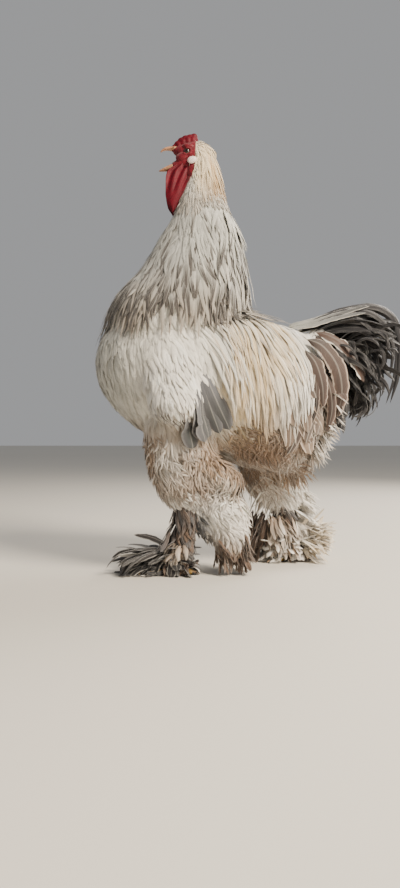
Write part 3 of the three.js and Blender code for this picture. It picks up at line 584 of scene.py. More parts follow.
def vanes(name, spine, up, style, places, tint, marks, coat, nodes=()):
    # one piece of many closed blades
    # spine and up: feathers x stations x 3; tint: feathers x 2 x 3 for root and tip
    rng = np.random.default_rng(style["seed"] + 1)
    count, stations = spine.shape[:2]
    share = np.linspace(0, 1, stations)
    way = unit(np.gradient(spine, axis=1))
    up = unit(up - way * dot(up, way))
    side = np.cross(way, up)
    half = style["width"] / 2 * np.ones(count) * rng.uniform(0.82, 1.15, count)
    width = (half[:, None] * outline(share, style["swell"], style["point"]))[:, :, None, None]
    a, b = (crossSection[:, k][None, None, :, None] for k in (0, 1))
    rag = 1 - style["ragged"] * rng.uniform(0, 1, (count, stations, 6, 1)) * (np.abs(a) > 0.9)
    slip = style["sweep"] * np.abs(a) * width * (0.8 + 0.4 * rng.uniform(size=(count, stations, 1, 1)))
    body = spine[:, :, None] + side[:, :, None] * a * width * rag
    thick = style["thickness"] * np.minimum(1, width / 2)
    cup = style["cup"] * width * a**2
    body = body + up[:, :, None] * (thick * b - cup) + way[:, :, None] * slip
    verts = np.concatenate([spine[:, :1], body[:, 1:-1].reshape(count, -1, 3), spine[:, -1:]], axis=1)
    if "floor" in style:
        verts[..., 2] = np.maximum(verts[..., 2], style["floor"])

    # every blade has the same faces: six triangles at each end and rings of quads between
    each = verts.shape[1]
    last = each - 7
    turns = [(k, (k + 1) % 6) for k in range(6)]
    ends = [f for k, n in turns for f in ((0, 1 + n, 1 + k), (each - 1, last + k, last + n))]
    quads = [(at + k, at + n, at + 6 + n, at + 6 + k) for at in range(1, last, 6) for k, n in turns]
    pattern = np.array([i for face in ends + quads for i in face])
    sizes = np.tile([3] * len(ends) + [4] * len(quads), count)
    corners = pattern[None] + each * np.arange(count)[:, None]
    mesh = bpy.data.meshes.new(name)
    mesh.vertices.add(count * each)
    mesh.vertices.foreach_set("co", (verts * mm).astype(np.float32).reshape(-1))
    mesh.loops.add(corners.size)
    mesh.loops.foreach_set("vertex_index", corners.astype(np.int32).reshape(-1))
    mesh.polygons.add(len(sizes))
    mesh.polygons.foreach_set("loop_start", (np.cumsum(sizes) - sizes).astype(np.int32))
    mesh.polygons.foreach_set("loop_total", sizes.astype(np.int32))
    mesh.update(calc_edges=True)

    # the two edges of a vane stay crisp, so that its top takes the light as a flat blade does
    pairs = np.empty(len(mesh.edges) * 2, np.int32)
    mesh.edges.foreach_get("vertices", pairs)
    local = pairs.reshape(-1, 2) % each
    pole = (local == 0) | (local == each - 1)
    edge = np.isin((local - 1) % 6, (0, 4)) | pole
    crisp = edge.all(1) & (((local[:, 0] - local[:, 1]) % 6 == 0) | pole.any(1))
    mesh.attributes.new("sharp_edge", "BOOLEAN", "EDGE").data.foreach_set("value", crisp)

    # every point's own place on its vane, from 0 to 1 across and along
    u = np.concatenate([[0.5], np.tile(crossSection[:, 0] * 0.5 + 0.5, stations - 2), [0.5]])
    v = np.concatenate([[0], np.repeat(share[1:-1], 6), [1]])
    own = np.repeat(np.stack([u, v], 1)[pattern][None], count, 0)
    for word, uv in (("vane", own), ("OFBake", places[:, None] + own * bakePatch)):
        layer = mesh.uv_layers.new(name=word)
        layer.data.foreach_set("uv", uv.astype(np.float32).reshape(-1))
    colours = tint[:, 0, None] + (tint[:, 1, None] - tint[:, 0, None]) * v[None, :, None]
    tinted(mesh, colours.reshape(-1, 3))
    tinted(mesh, np.repeat(marks, each, 0), "marks")
    print(name, count, "vanes,", (len(ends) + 2 * len(quads)) * count, "triangles")
    placed(name, mesh, coatMaterials[coat], nodes)


def unwrapped(p, axis, middle):
    # a place on the unrolled skin, round and along one axis, filling the square
    if axis == "x":
        turn, along = np.arctan2(p[:, 1], p[:, 2] - middle[2]), p[:, 0]
    else:
        turn, along = np.arctan2(p[:, 1] - middle[1], p[:, 0] - middle[0]), p[:, 2]
    share = (along - along.min()) / max(np.ptp(along), 1)
    return 0.01 + 0.97 * np.stack([turn / (2 * math.pi) + 0.5, share], 1)


def bvh(mesh):
    bm = bmesh.new()
    bm.from_mesh(mesh)
    bmesh.ops.scale(bm, verts=bm.verts, vec=(1 / mm, 1 / mm, 1 / mm))
    tree = BVHTree.FromBMesh(bm)
    bm.free()
    return tree


def nearest(tree, p):
    found = [tree.find_nearest(q) for q in p.tolist()]
    return np.array([f[0] for f in found]), np.array([f[1] for f in found])


def sampled(mesh, count, seed):
    # points spread evenly over a mesh, with their normals
    rng = np.random.default_rng(seed)
    co = points(mesh)
    mesh.calc_loop_triangles()
    corners = np.empty(len(mesh.loop_triangles) * 3, np.int32)
    mesh.loop_triangles.foreach_get("vertices", corners)
    a, b, c = (co[corners.reshape(-1, 3)[:, k]] for k in range(3))
    cross = np.cross(b - a, c - a)
    area = np.linalg.norm(cross, axis=1)
    pick = rng.choice(len(area), count, p=area / area.sum())
    r, s = rng.uniform(size=(2, count, 1))
    r, s = np.where(r + s > 1, 1 - r, r), np.where(r + s > 1, 1 - s, s)
    a, b, c = a[pick], b[pick], c[pick]
    return a + (b - a) * r + (c - a) * s, unit(cross[pick])


def thinned(p, n, mask, spacing, seed):
    # keeps points of the region that stand at least spacing apart
    rng = np.random.default_rng(seed)
    which = np.flatnonzero(mask)
    rng.shuffle(which)
    gap = spacing * np.ones(len(p))
    tree = kdtree.KDTree(len(which))
    for k, i in enumerate(which):
        tree.insert(p[i], k)
    tree.balance()
    free = np.ones(len(which), bool)
    kept = []
    for k, i in enumerate(which):
        if free[k]:
            kept.append(i)
            for _, other, _ in tree.find_range(p[i], gap[i]):
                free[other] = False
    return p[kept], n[kept]


def turned(v, axis, angle):
    return v * np.cos(angle) + np.cross(axis, v) * np.sin(angle) + axis * dot(axis, v) * (1 - np.cos(angle))


def drift(p, size, seed):
    # a slow random swell over space, about -1 to 1, that gathers neighbours into locks
    rng = np.random.default_rng(seed)
    total = np.zeros(len(p))
    for _ in range(5):
        way = unit(rng.normal(size=3)) * 2 * math.pi / (size * rng.uniform(0.7, 1.5))
        total += np.sin(p @ way + rng.uniform(0, 6.28))
    return (total / 2.2)[:, None]


def headed(p, x, y, z):
    # unit directions at points, each part one number or one for each point
    return unit(np.stack([part * np.ones(len(p)) for part in (x, y, z)], 1))


def laid(tree, roots, flow, length, style):
    # lays vanes over a surface, each lifting towards its tip and free to hang off the surface
    rng = np.random.default_rng(style["seed"])
    count, steps = len(roots), style["steps"]
    yaw = rng.normal(0, style["yaw"], (count, 1)) + style.get("locks", 0) * drift(roots, 46, style["seed"])
    bend = rng.normal(0, style["bend"], (count, 1))
    phase = rng.uniform(0, 6.28, (count, 1))
    lift = style["lift"] * rng.uniform(0.6, 1.4, (count, 1))
    spine = np.empty((count, steps + 1, 3))
    up = np.empty_like(spine)
    p, heading = roots.copy(), None
    for s in range(steps + 1):
        share = s / steps
        near, n = nearest(tree, p)
        out = dot(p - near, n)
        least = -style["sunk"] + (lift + style["sunk"]) * share ** style["rise"]
        height = least + np.clip(out - least, 0, style["slack"] * share)
        at = near + n * height
        loose = np.clip((height - least) / 3, 0, 1)
        spine[:, s], up[:, s] = at, n
        want = flow(at)
        want = want - n * dot(want, n) * (1 - loose)
        want = turned(unit(want), n, yaw + bend * np.sin(phase + 4 * share))
        heading = want if heading is None else unit(heading * (1 - style["turn"]) + want * style["turn"])
        p = at + heading * (length / steps)[:, None]
    up[:, 1:-1] = (up[:, :-2] + up[:, 1:-1] * 2 + up[:, 2:]) / 4
    if "roll" in style:
        up = turned(up, unit(np.gradient(spine, axis=1)), style["roll"])
    return spine, unit(up)


def swept(roots, azimuth, rise, length, curl, style):
    # free vanes that leave their root at an angle and droop by curl degrees along their length
    rng = np.random.default_rng(style["seed"])
    count, steps = len(roots), style["steps"]
    share = np.linspace(0, 1, steps + 1)[None]
    wave = rng.normal(0, style["bend"], (count, 1)) * np.sin(rng.uniform(0, 6.28, (count, 1)) + 4 * share)
    a = np.radians(azimuth)[:, None] + wave
    e = np.radians(rise[:, None] - curl[:, None] * share ** style["bow"])
    way = np.stack([np.cos(e) * np.cos(a), np.cos(e) * np.sin(a), np.sin(e)], 2)
    step = way * (length / steps)[:, None, None]
    spine = roots[:, None] + np.cumsum(np.concatenate([np.zeros((count, 1, 3)), step[:, 1:]], 1), 1)
    up = np.stack([-np.sin(e) * np.cos(a), -np.sin(e) * np.sin(a), np.cos(e)], 2)
    lean = style.get("lean", 0) * np.sign(roots[:, 1])[:, None, None]
    up = turned(up, way, rng.normal(0, style["roll"], (count, 1, 1)) + lean)
    if "floor" in style:
        spine[..., 2] = np.maximum(spine[..., 2], style["floor"] + 0.5)
    return spine, up


def toned(p, style, tip=None, vary=0.08):
    # root and tip colours, a little different from vane to vane
    rng = np.random.default_rng(style["seed"] + 7)
    root = colourAt(p)
    end = root if tip is None else tip
    level = rng.normal(1, vary, (len(p), 1))
    return np.clip(np.stack([root * level, end * level], 1), 0.002, 0.95)


def marked(count, seed, dark, lace, shaft, chance=1.0):
    # how strongly each vane shows its centre streak, laced edge and pale shaft
    rng = np.random.default_rng(seed + 11)
    some = rng.uniform(size=count) < chance
    m = np.zeros((count, 3))
    m[:, 0] = dark * rng.uniform(0.5, 1.15, count) * some
    m[:, 1] = lace * rng.uniform(0.5, 1.1, count)
    m[:, 2] = shaft
    return np.clip(m, 0, 1)


bodyMesh = makeBodySkin()
footMesh = makeFootSkin()
headMesh = makeHeadSkin()
bodyTree, footTree, headTree = bvh(bodyMesh), bvh(footMesh), bvh(headMesh)
# as many points as leave no gap wider than the closest roots
bodyPoints, bodyNormals = sampled(bodyMesh, 90000, 1)
headPoints, headNormals = sampled(headMesh, 12000, 2)
footPoints, footNormals = sampled(footMesh, 20000, 3)
print("skins fused", len(bodyMesh.polygons), len(footMesh.polygons), len(headMesh.polygons))


def joinSkins():
    whole = bmesh.new()
    for mesh in (bodyMesh, footMesh, headMesh):
        tinted(mesh, skinColour(points(mesh), mesh == footMesh))
        whole.from_mesh(mesh)
    mesh = bpy.data.meshes.new("skin")
    whole.to_mesh(mesh)
    whole.free()
    placed("skin", mesh, skinMaterial(), ("torso", "head", "thigh_left", "thigh_right"))


joinSkins()

coatMaterials = {
    name: featherMaterial(**settings)
    for name, settings in {
        "white": dict(name="white contour feather", barbs=16, sweep=5, depth=0.2),
        "hackle": dict(
            name="striped hackle feather", barbs=30, sweep=8, depth=0.16, spread=0.85, stripe="#221814",
        ),
        "saddle": dict(name="cream saddle hackle", barbs=30, sweep=8, depth=0.2, stripe="#b08d5c"),
        "flight": dict(
            name="grey flight feather", barbs=60, sweep=10, depth=0.14, stripe="#3c3f3e", rough=0.55,
        ),
        "tail": dict(
            name="black tail feather", barbs=70, sweep=10, depth=0.4, stripe="#141317", shaft="#6d6a68",
            rough=0.42, sheen=0.15,
        ),
        "covert": dict(
            name="laced brown covert", barbs=50, sweep=9, depth=0.25, stripe="#1d1615", lace="#c9b8a8",
            rough=0.55,
        ),
        "fluff": dict(name="downy fluff", barbs=12, sweep=5, depth=0.22, rough=0.85, sheen=0.5),
        "foot": dict(name="foot feather", barbs=24, sweep=6, depth=0.24, stripe="#2c2523"),
    }.items()
}

x, y, z = bodyPoints.T  # the regions of the coat are told by these


# a vane's settings, lengths in mm: steps its spine takes, least spacing of roots, share of its length where
# it swells widest, a higher point for a blunter tip; ragged, sweep and cup are shares of the half width, for
# uneven edges, edges that run on and depth across; lift is the tip's height over the skin and rise its power,
# sunk the root's depth, slack how far it may hang free; yaw, bend and roll turn, wave and twist it, in
# radians; turn is how fast it follows the flow, locks how far neighbours turn together, bow a curl's power
hackle = {
    "seed": 11, "steps": 8, "spacing": 5.5, "width": 9.5, "thickness": 0.3, "cup": 0.07, "swell": 0.4,
    "point": 1.2, "ragged": 0.1, "sweep": 0.5, "lift": 6.5, "rise": 0.9, "sunk": 1.0, "slack": 8.0,
    "yaw": 0.09, "bend": 0.18, "turn": 0.5, "locks": 0.2,
    "waves": [(31, 0.011, 0), (47, -0.017, 1), (71, 0.013, 2)],  # locks round the neck, slope, start
    "collar": 588,  # height where the head's short plumes end, and from under which the mane hangs
    "upper": 603,  # plumes grow above this height, the mane below
}


def hackleFlow(p):
    # away from a point over the head, and rearwards on the shoulders
    way = p - np.array([-88.0, 0, 800])
    way[:, 0] *= 0.85
    back = ramp(p[:, 0], -60, 20) * (1 - ramp(p[:, 2], 400, 470))
    way[:, 0] += 260 * back
    return unit(way)


def strand(p):
    # stays much the same down a lock of the mane, so that streaks line up; about -1 to 1
    turn, high = np.arctan2(p[:, 1], -88 - p[:, 0]), p[:, 2]
    return sum(np.sin(count * turn + slope * high + start) for count, slope, start in hackle["waves"]) / 2


def makeHackle():
    region = (z > 452) & (z < 702) & ((x > faceEdge(z) + 3) | (z < 632))
    gap = mixed(3.5, hackle["spacing"], 1 - ramp(bodyPoints[:, 2], 540, 640))
    p, n = thinned(bodyPoints, bodyNormals, region, gap, 11)
    rng = np.random.default_rng(12)
    root = p[:, 2]
    collar = hackle["collar"] + 14 * drift(p, 50, 7)[:, 0] + 22 * ramp(p[:, 0], -95, -55)
    short = np.clip((root - collar) * 0.96, 22, 96) * rng.uniform(0.5, 1.1, len(p))
    short *= mixed(0.45, 1.0, ramp(np.abs(p[:, 0] - faceEdge(root)), 3, 20))
    long = mixed(74, 122, 1 - ramp(root, 500, 600)) * rng.uniform(0.42, 1.14, len(p))
    long *= mixed(0.62, 1.0, ramp(root, 452, 500)) * (1 + 0.18 * drift(p, 34, 5)[:, 0])
    behind = ramp(p[:, 0], -70, -20)
    long *= 1 + (0.4 - 0.5 * (1 - ramp(root, 470, 530))) * behind
    upper = root > hackle["upper"]
    length = np.where(upper, short, long)
    style = dict(hackle)
    style["width"] = np.where(upper, 4.6, mixed(6.4, hackle["width"], 1 - ramp(root, 470, 600)))
    style["lift"] = (mixed(2.2, hackle["lift"], 1 - ramp(root, 460, 560)) + 8 * behind * ~upper)[:, None]
    style["slack"] = np.where(upper, 2.5, hackle["slack"])[:, None]
    style["locks"] = np.where(upper, 0.05, hackle["locks"])[:, None]
    spine, up = laid(bodyTree, p, hackleFlow, length, style)
    tips = spine[:, -1]
    fringe = (1 - ramp(tips[:, 2], 395, 480)) * 0.7 + upper * (1 - ramp(tips[:, 2], 596, 640)) * 0.6
    tint = toned(p, style, mixed(colourAt(p), tones["dusk"], fringe[:, None]), 0.1)
    marks = marked(len(p), 12, 1.2, 0, 0.15)
    # the mane's streaks are dark brown, closest together low on the cape and few behind
    level = mixed(-0.3, 0.8, ramp(tips[:, 2], 430, 560)) + 0.4 * ramp(p[:, 0], -60, -10)
    dark = ramp(strand(p) + rng.normal(0, 0.07, len(p)), level, level + 0.16) * ~upper
    tint[:, 1] = mixed(tint[:, 1], tones["cocoa"] * 0.5, dark[:, None] * 0.85)
    collared = 0.5 * (1 - ramp(tips[:, 2], 600, 640)) * (rng.uniform(size=len(p)) < 0.5)
    marks[:, 0] *= np.where(upper, collared, 0.06 + 0.94 * dark)
    places = unwrapped(p, "z", (-80, 0, 0))
    for name, part, nodes in (("neck_hackle", ~upper, ("neck",)), ("nape_plumes", upper, ())):
        vanes(
            name, spine[part], up[part], dict(style, width=style["width"][part]), places[part], tint[part],
            marks[part], "hackle", nodes,
        )


makeHackle()


contour = {
    "steps": 5, "spacing": 4.8, "length": 46, "width": 11, "thickness": 0.22, "cup": 0.05, "swell": 0.42,
    "point": 1.4, "ragged": 0.35, "sweep": 0.6, "lift": 2.7, "rise": 0.8, "sunk": 1.0, "slack": 3.0,
    "yaw": 0.12, "bend": 0.1, "turn": 0.6, "locks": 0.12,
}


def contourFlow(p):
    # down the breast and flanks, rearwards along the back and the underside
    back = ramp(p[:, 2], 395, 432) * ramp(p[:, 0], -150, -110)
    under = (1 - ramp(p[:, 2], 215, 260)) * (np.abs(p[:, 1]) < 70)
    rearward = mixed(mixed(0.2, 0.5, ramp(p[:, 0], -120, 60)), 1.0, back) + 0.8 * under
    return headed(p, rearward, 0, mixed(-1.0, -0.15, back))


def makeContour():
    underCape = (z > 418) & (x < 0) & ~((x < -160) & (np.abs(y) < 84) & (z < 520))
    underSaddle = (x > -30) & (z > 335)
    for name, seed, region in (
        ("breast_coat", 21, (z > 226) & (x < -104) & ~underCape),
        ("flank_coat", 22, (z > 212) & (x >= -104) & (x < 128) & ~underCape & ~underSaddle),
    ):
        style = dict(contour, seed=seed)
        p, n = thinned(bodyPoints, bodyNormals, region, style["spacing"], seed)
        length = style["length"] * np.random.default_rng(seed).uniform(0.75, 1.15, len(p))
        spine, up = laid(bodyTree, p, contourFlow, length, style)
        vanes(
            name, spine, up, style, unwrapped(p, "x", (0, 0, 320)), toned(p, style),
            marked(len(p), seed, 0.1, 0, 0.1, 0.25), "white",
        )


makeContour()


fluff = {
    "steps": 5, "spacing": 3.2, "length": 30, "width": 4.4, "thickness": 0.4, "cup": 0.1, "swell": 0.45,
    "point": 1.3, "ragged": 0.3, "sweep": 0.6, "lift": 7, "rise": 0.8, "sunk": 1.5, "slack": 5.0,
    "yaw": 0.3, "bend": 0.4, "turn": 0.6, "locks": 0.6,
}


def fluffFlow(p):
    return headed(p, 0.3 * ramp(p[:, 2], 100, 200), 0, -1)


def makeFluff():
    edge = 238 + 14 * drift(bodyPoints, 60, 9)[:, 0]
    for name, seed, region in (
        ("thigh_fluff_left", 31, (z < edge) & (z > 118) & (x < -20) & (y < 10)),
        ("thigh_fluff_right", 32, (z < edge) & (z > 128) & ((x >= -20) | (y >= 10))),
    ):
        style = dict(fluff, seed=seed)
        p, n = thinned(bodyPoints, bodyNormals, region, style["spacing"], seed)
        length = style["length"] * np.random.default_rng(seed).uniform(0.6, 1.3, len(p))
        # longer and looser under the belly
        belly = ramp(-p[:, 2], -205, -175) * (1 - ramp(np.abs(p[:, 1]), 40, 78)) * ramp(p[:, 0], -110, -60)
        belly *= 1 - ramp(p[:, 0], 50, 90)
        length *= 1 + 1.1 * belly
        style["slack"] = (style["slack"] + 34 * belly)[:, None]
        spine, up = laid(bodyTree, p, fluffFlow, length, style)
        vanes(
            name, spine, up, style, unwrapped(p, "z", (-40, 0, 0)), toned(p, style, vary=0.14),
            marked(len(p), seed, 0.4, 0, 0.05, 0.25), "fluff",
        )


makeFluff()

vent = {
    "seed": 36, "steps": 7, "width": 6.5, "thickness": 0.4, "cup": 0.16, "swell": 0.5, "point": 1.6,
    "ragged": 0.3, "sweep": 0.7, "bend": 0.3, "roll": 0.5, "bow": 0.9, "count": 420,
}


def makeVentFluff():
    # pale down that hangs under the tail
    count = vent["count"]
    rng = np.random.default_rng(37)
    side = np.where(rng.uniform(size=count) < 0.5, -1.0, 1.0)
    low = rng.uniform(size=count)
    start = np.stack([mixed(124, 92, low**1.5), side * rng.uniform(2, 46, count), mixed(300, 196, low)], 1)
    spine, up = swept(
        start, side * rng.uniform(0, 65, count), rng.uniform(-64, -10, count), rng.uniform(28, 50, count),
        rng.uniform(0, 60, count), vent,
    )
    pick = rng.uniform(size=(count, 1))
    root = mixed(tones["hock"], tones["fluff"], pick)
    tip = mixed(tones["hock"], tones["umber"], pick * 0.6)
    vanes(
        "vent_fluff", spine, up, vent, unwrapped(start, "z", (60, 0, 0)), np.stack([root, tip], 1),
        marked(count, 36, 0.3, 0.3, 0.1, 0.3), "fluff",
    )


makeVentFluff()


covert = {
    "steps": 6, "spacing": 4.8, "length": 46, "width": 9, "thickness": 0.25, "cup": 0.06,
    "swell": 0.45, "point": 1.3, "ragged": 0.3, "sweep": 0.5, "lift": 5, "rise": 0.8, "sunk": 1.0,
    "slack": 4.0, "yaw": 0.1, "bend": 0.08, "turn": 0.6, "locks": 0.1,
}
flight = {
    "steps": 12, "width": 27, "thickness": 0.8, "cup": 0.16, "swell": 0.3, "point": 5, "ragged": 0.05,
    "sweep": 0.3, "rise": 0.5, "sunk": 0.0, "slack": 18.0, "yaw": 0.05, "bend": 0.03, "turn": 0.4, "count": 6,
}
wingEdge = {"count": 34, "width": 8, "lift": 4, "yaw": 0.25}  # what it has otherwise than covert
wingPad = {"middle": (-128, 312), "radii": (42, 66), "tilt": -16}  # outline of the folded wing in x and z


def wingFlow(p):
    return headed(p, 0.3, 0, -1)


def makeWings():
    rng = np.random.default_rng(44)
    tilt = math.radians(wingPad["tilt"])
    for side, word in sideWords:
        dx, dz = x - wingPad["middle"][0], z - wingPad["middle"][1]
        a = (dx * math.cos(tilt) - dz * math.sin(tilt)) / wingPad["radii"][0]
        b = (dx * math.sin(tilt) + dz * math.cos(tilt)) / wingPad["radii"][1]
        axis = (-118, side * 60, 0)
        style = dict(covert, seed=41 + side)
        region = (a**2 + b**2 < 1) & (y * side > 60)
        p, n = thinned(bodyPoints, bodyNormals, region, style["spacing"], 41 + side)
        length = style["length"] * rng.uniform(0.8, 1.12, len(p))
        spine, up = laid(bodyTree, p, wingFlow, length, style)
        barred = marked(len(p), 41, 1.0, 0, 0.1, 0.55)
        barred[:, 0] *= 0.08 + 0.92 * (1 - ramp(spine[:, -1, 2], 236, 262))
        vanes(
            "wing_coverts_" + word, spine, up, style, unwrapped(p, "z", axis),
            toned(p, style, tones["bright"]), barred, "white", ("wing_" + word,),
        )
        # small barred feathers under the wing's rounded end
        count = wingEdge["count"]
        t = rng.uniform(size=count)
        low = 262 - 14 * t + rng.uniform(-8, 8, count)
        roots = np.stack([mixed(-168, -92, t), np.full(count, side * 120.0), low], 1)
        style = dict(covert, **wingEdge, seed=46 + side)
        length = rng.uniform(24, 34, count)
        spine, up = laid(bodyTree, nearest(bodyTree, roots)[0], wingFlow, length, style)
        shade = mixed(tones["white"], tones["cocoa"], rng.uniform(size=(count, 1)) * 0.8)
        vanes(
            "wing_edge_" + word, spine, up, style, unwrapped(roots, "z", axis), np.stack([shade, shade], 1),
            marked(count, 47, 1.2, 0.8, 0.2), "hackle",
        )
        # grey primaries and secondaries, folded under the coverts
        count = flight["count"]
        t = np.linspace(0, 1, count)
        roots = np.stack([mixed(-96, -78, t), np.full(count, side * 122.0), mixed(262, 322, t)], 1)
        style = dict(flight, seed=50 + side, lift=mixed(6, 11, t)[:, None], roll=side * 0.2)
        way = headed(roots, mixed(0.18, 0.44, t), 0, -1)
        length = mixed(66, 100, t) * rng.uniform(0.96, 1.03, count)
        spine, up = laid(bodyTree, roots, lambda q: way, length, style)
        shade = rng.uniform(0.55, 0.95, (count, 1))
        tip = mixed(tones["slate"], tones["cocoa"], 0.25)
        vanes(
            "flight_feathers_" + word, spine, up, style, unwrapped(roots, "z", axis),
            np.stack([tones["slate"] * shade, tip * shade * 0.9], 1), marked(count, 50, 0.7, 0.1, 0.12),
            "flight",
        )


makeWings()


saddle = {
    "seed": 61, "steps": 8, "spacing": 4.9, "width": 6.4, "thickness": 0.4, "cup": 0.12, "swell": 0.45,
    "point": 1.25, "ragged": 0.12, "sweep": 0.5, "lift": 7.5, "rise": 0.75, "sunk": 1.0, "slack": 10.0,
    "yaw": 0.06, "bend": 0.08, "turn": 0.45, "locks": 0.1,
}


def saddleFlow(p):
    # outwards over the back, then down and a little rearwards
    top = ramp(p[:, 2], 385, 425)
    front = 1 - ramp(p[:, 0], -70, -10)
    rearward = mixed(mixed(0.06, 0.2, ramp(p[:, 0], 0, 50)), 0.5, top) + 0.3 * front
    rearward -= 0.45 * ramp(p[:, 0], 60, 110) * (1 - top)
    return headed(p, rearward, np.sign(p[:, 1]) * 0.8 * top, -1)


def makeSaddle():
    region = (x > -90) & (x < 112) & (z > 292) & (z < 438)
    region &= (z > 318 - 0.9 * (x + 20)) & (x < 72 + 0.55 * (z - 310))
    p, n = thinned(bodyPoints, bodyNormals, region, saddle["spacing"], 61)
    rng = np.random.default_rng(62)
    length = mixed(84, 140, ramp(p[:, 2], 300, 420)) * rng.uniform(0.56, 1.12, len(p))
    length *= mixed(1.0, 0.8, ramp(p[:, 0], 40, 100))
    front = 1 - ramp(p[:, 0:1], -60, -10)
    spine, up = laid(bodyTree, p, saddleFlow, length, dict(saddle, lift=saddle["lift"] + 2 * front))
    low = 1 - ramp(spine[:, -1, 2:3], 205, 262)
    tint = toned(p, saddle, mixed(colourAt(p), tones["dusk"], low * 0.7), 0.1)
    marks = marked(len(p), 61, 0.45, 0, 0.1, 0.4) * ramp(60 - p[:, 0:1], 0, 40)
    vanes(
        "saddle_hackle", spine, up, saddle, unwrapped(p, "x", (0, 0, 320)), tint, marks, "saddle",
        ("saddle",),
    )


makeSaddle()

rump = {
    "seed": 66, "steps": 8, "spacing": 10, "length": 76, "width": 28, "thickness": 0.5, "cup": 0.12,
    "swell": 0.5, "point": 2.4, "ragged": 0.2, "sweep": 0.5, "lift": 8, "rise": 0.8, "sunk": 0.0,
    "slack": 14.0, "yaw": 0.25, "bend": 0.2, "turn": 0.5,
}


def rumpFlow(p):
    return headed(p, 0.3, np.sign(p[:, 1]) * 0.1, -1)


def makeRump():
    # broad laced coverts between the saddle and the tail
    region = (x > 62 + 0.55 * (z - 300)) & (z > 262) & (z < 380) & (x > 54)
    p, n = thinned(bodyPoints, bodyNormals, region, rump["spacing"], 66)
    rng = np.random.default_rng(67)
    length = rump["length"] * rng.uniform(0.6, 1.1, len(p))
    style = dict(rump, width=rump["width"] * rng.uniform(0.5, 1.2, len(p)))
    spine, up = laid(bodyTree, p, rumpFlow, length, style)
    root = mixed(tones["soot"], tones["cocoa"], rng.uniform(size=(len(p), 1)))
    tip = mixed(tones["cocoa"], tones["dusk"], rng.uniform(size=(len(p), 1)))
    vanes(
        "tail_coverts", spine, up, style, unwrapped(p, "z", (60, 0, 0)), np.stack([root, tip], 1),
        marked(len(p), 66, 0.6, 1.0, 0.3, 0.5), "covert",
    )


makeRump()


tail = {
    "rows": [  # count, rise, length, curl, splay, out, height, width, kind
        (12, (37, -42), (162, 100), (56, 76), (0, 4), (1, 6), (400, 316), 32, "main"),
        (14, (36, -34), (168, 110), (58, 74), (3, 16), (4, 20), (398, 318), 32, "main"),
        (12, (30, -38), (150, 104), (84, 70), (8, 24), (12, 26), (394, 318), 26, "main"),
        (10, (-14, -44), (126, 104), (84, 62), (16, 34), (26, 36), (392, 332), 34, "covert"),
        (9, (-30, -60), (106, 84), (60, 36), (24, 40), (30, 36), (384, 318), 30, "covert"),
    ],
    "style": {
        "seed": 71, "steps": 12, "thickness": 0.8, "cup": 0.2, "swell": 0.4, "point": 2.6, "ragged": 0.35,
        "sweep": 0.55, "bend": 0.14, "roll": 0.35, "lean": -0.3, "bow": 1.0,
    },
    "curls": {
        "seed": 78, "steps": 9, "width": 9, "thickness": 0.5, "cup": 0.15, "swell": 0.4, "point": 1.4,
        "ragged": 0.3, "sweep": 0.5, "bend": 0.5, "roll": 0.9, "lean": -0.3, "bow": 1.2, "count": 320,
    },
    "sickle": {
        "seed": 75, "steps": 26, "thickness": 0.8, "cup": 0.2, "swell": 0.3, "point": 2, "ragged": 0.25,
        "sweep": 0.8,
    },
    "sickles": [  # width and the line in x, distance out, height
        (15, (
            (84, 3, 404), (130, 4, 424), (175, 5, 437), (212, 6, 438), (241, 7, 420), (252, 8, 380),
            (248, 10, 325), (233, 12, 274),
        )),
        (13, (
            (84, 8, 402), (125, 11, 420), (168, 14, 430), (204, 16, 424), (228, 18, 398), (236, 20, 360),
            (230, 22, 318),
        )),
        (12, ((84, 12, 398), (120, 18, 412), (156, 23, 419), (186, 27, 408), (204, 30, 380), (208, 32, 344))),
    ],
    "bigCoverts": [
        (34, ((86, 62, 374), (110, 67, 362), (133, 65, 332), (142, 60, 292), (136, 54, 250))),
        (24, ((82, 67, 356), (98, 73, 334), (108, 74, 300), (110, 71, 266))),
        (15, ((70, 76, 322), (82, 80, 292), (86, 79, 256), (79, 76, 216))),
        (19, ((106, 60, 330), (121, 63, 300), (126, 61, 262), (119, 58, 226))),
        (15, ((92, 70, 330), (98, 75, 300), (98, 75, 266), (90, 72, 234))),
    ],
    "trails": [  # pale long saddle feathers that run up over the tail
        (10, ((62, 10, 404), (100, 14, 410), (140, 17, 422), (175, 18, 432), (200, 18, 438))),
        (9, ((62, 18, 398), (100, 23, 404), (136, 27, 414), (168, 28, 421), (190, 28, 424))),
        (9, ((66, 4, 408), (104, 5, 416), (144, 7, 428), (180, 8, 437), (196, 8, 441))),
    ],
}


def strung(line, steps):
    # a smooth line through a few points
    line = np.array(line, float)
    tangent = np.gradient(line, axis=0)
    at = np.linspace(0, len(line) - 1, steps + 1)
    i = np.minimum(at.astype(int), len(line) - 2)
    t = (at - i)[:, None]
    fromA = line[i] * (2 * t**3 - 3 * t**2 + 1) + tangent[i] * (t**3 - 2 * t**2 + t)
    return fromA + line[i + 1] * (3 * t**2 - 2 * t**3) + tangent[i + 1] * (t**3 - t**2)


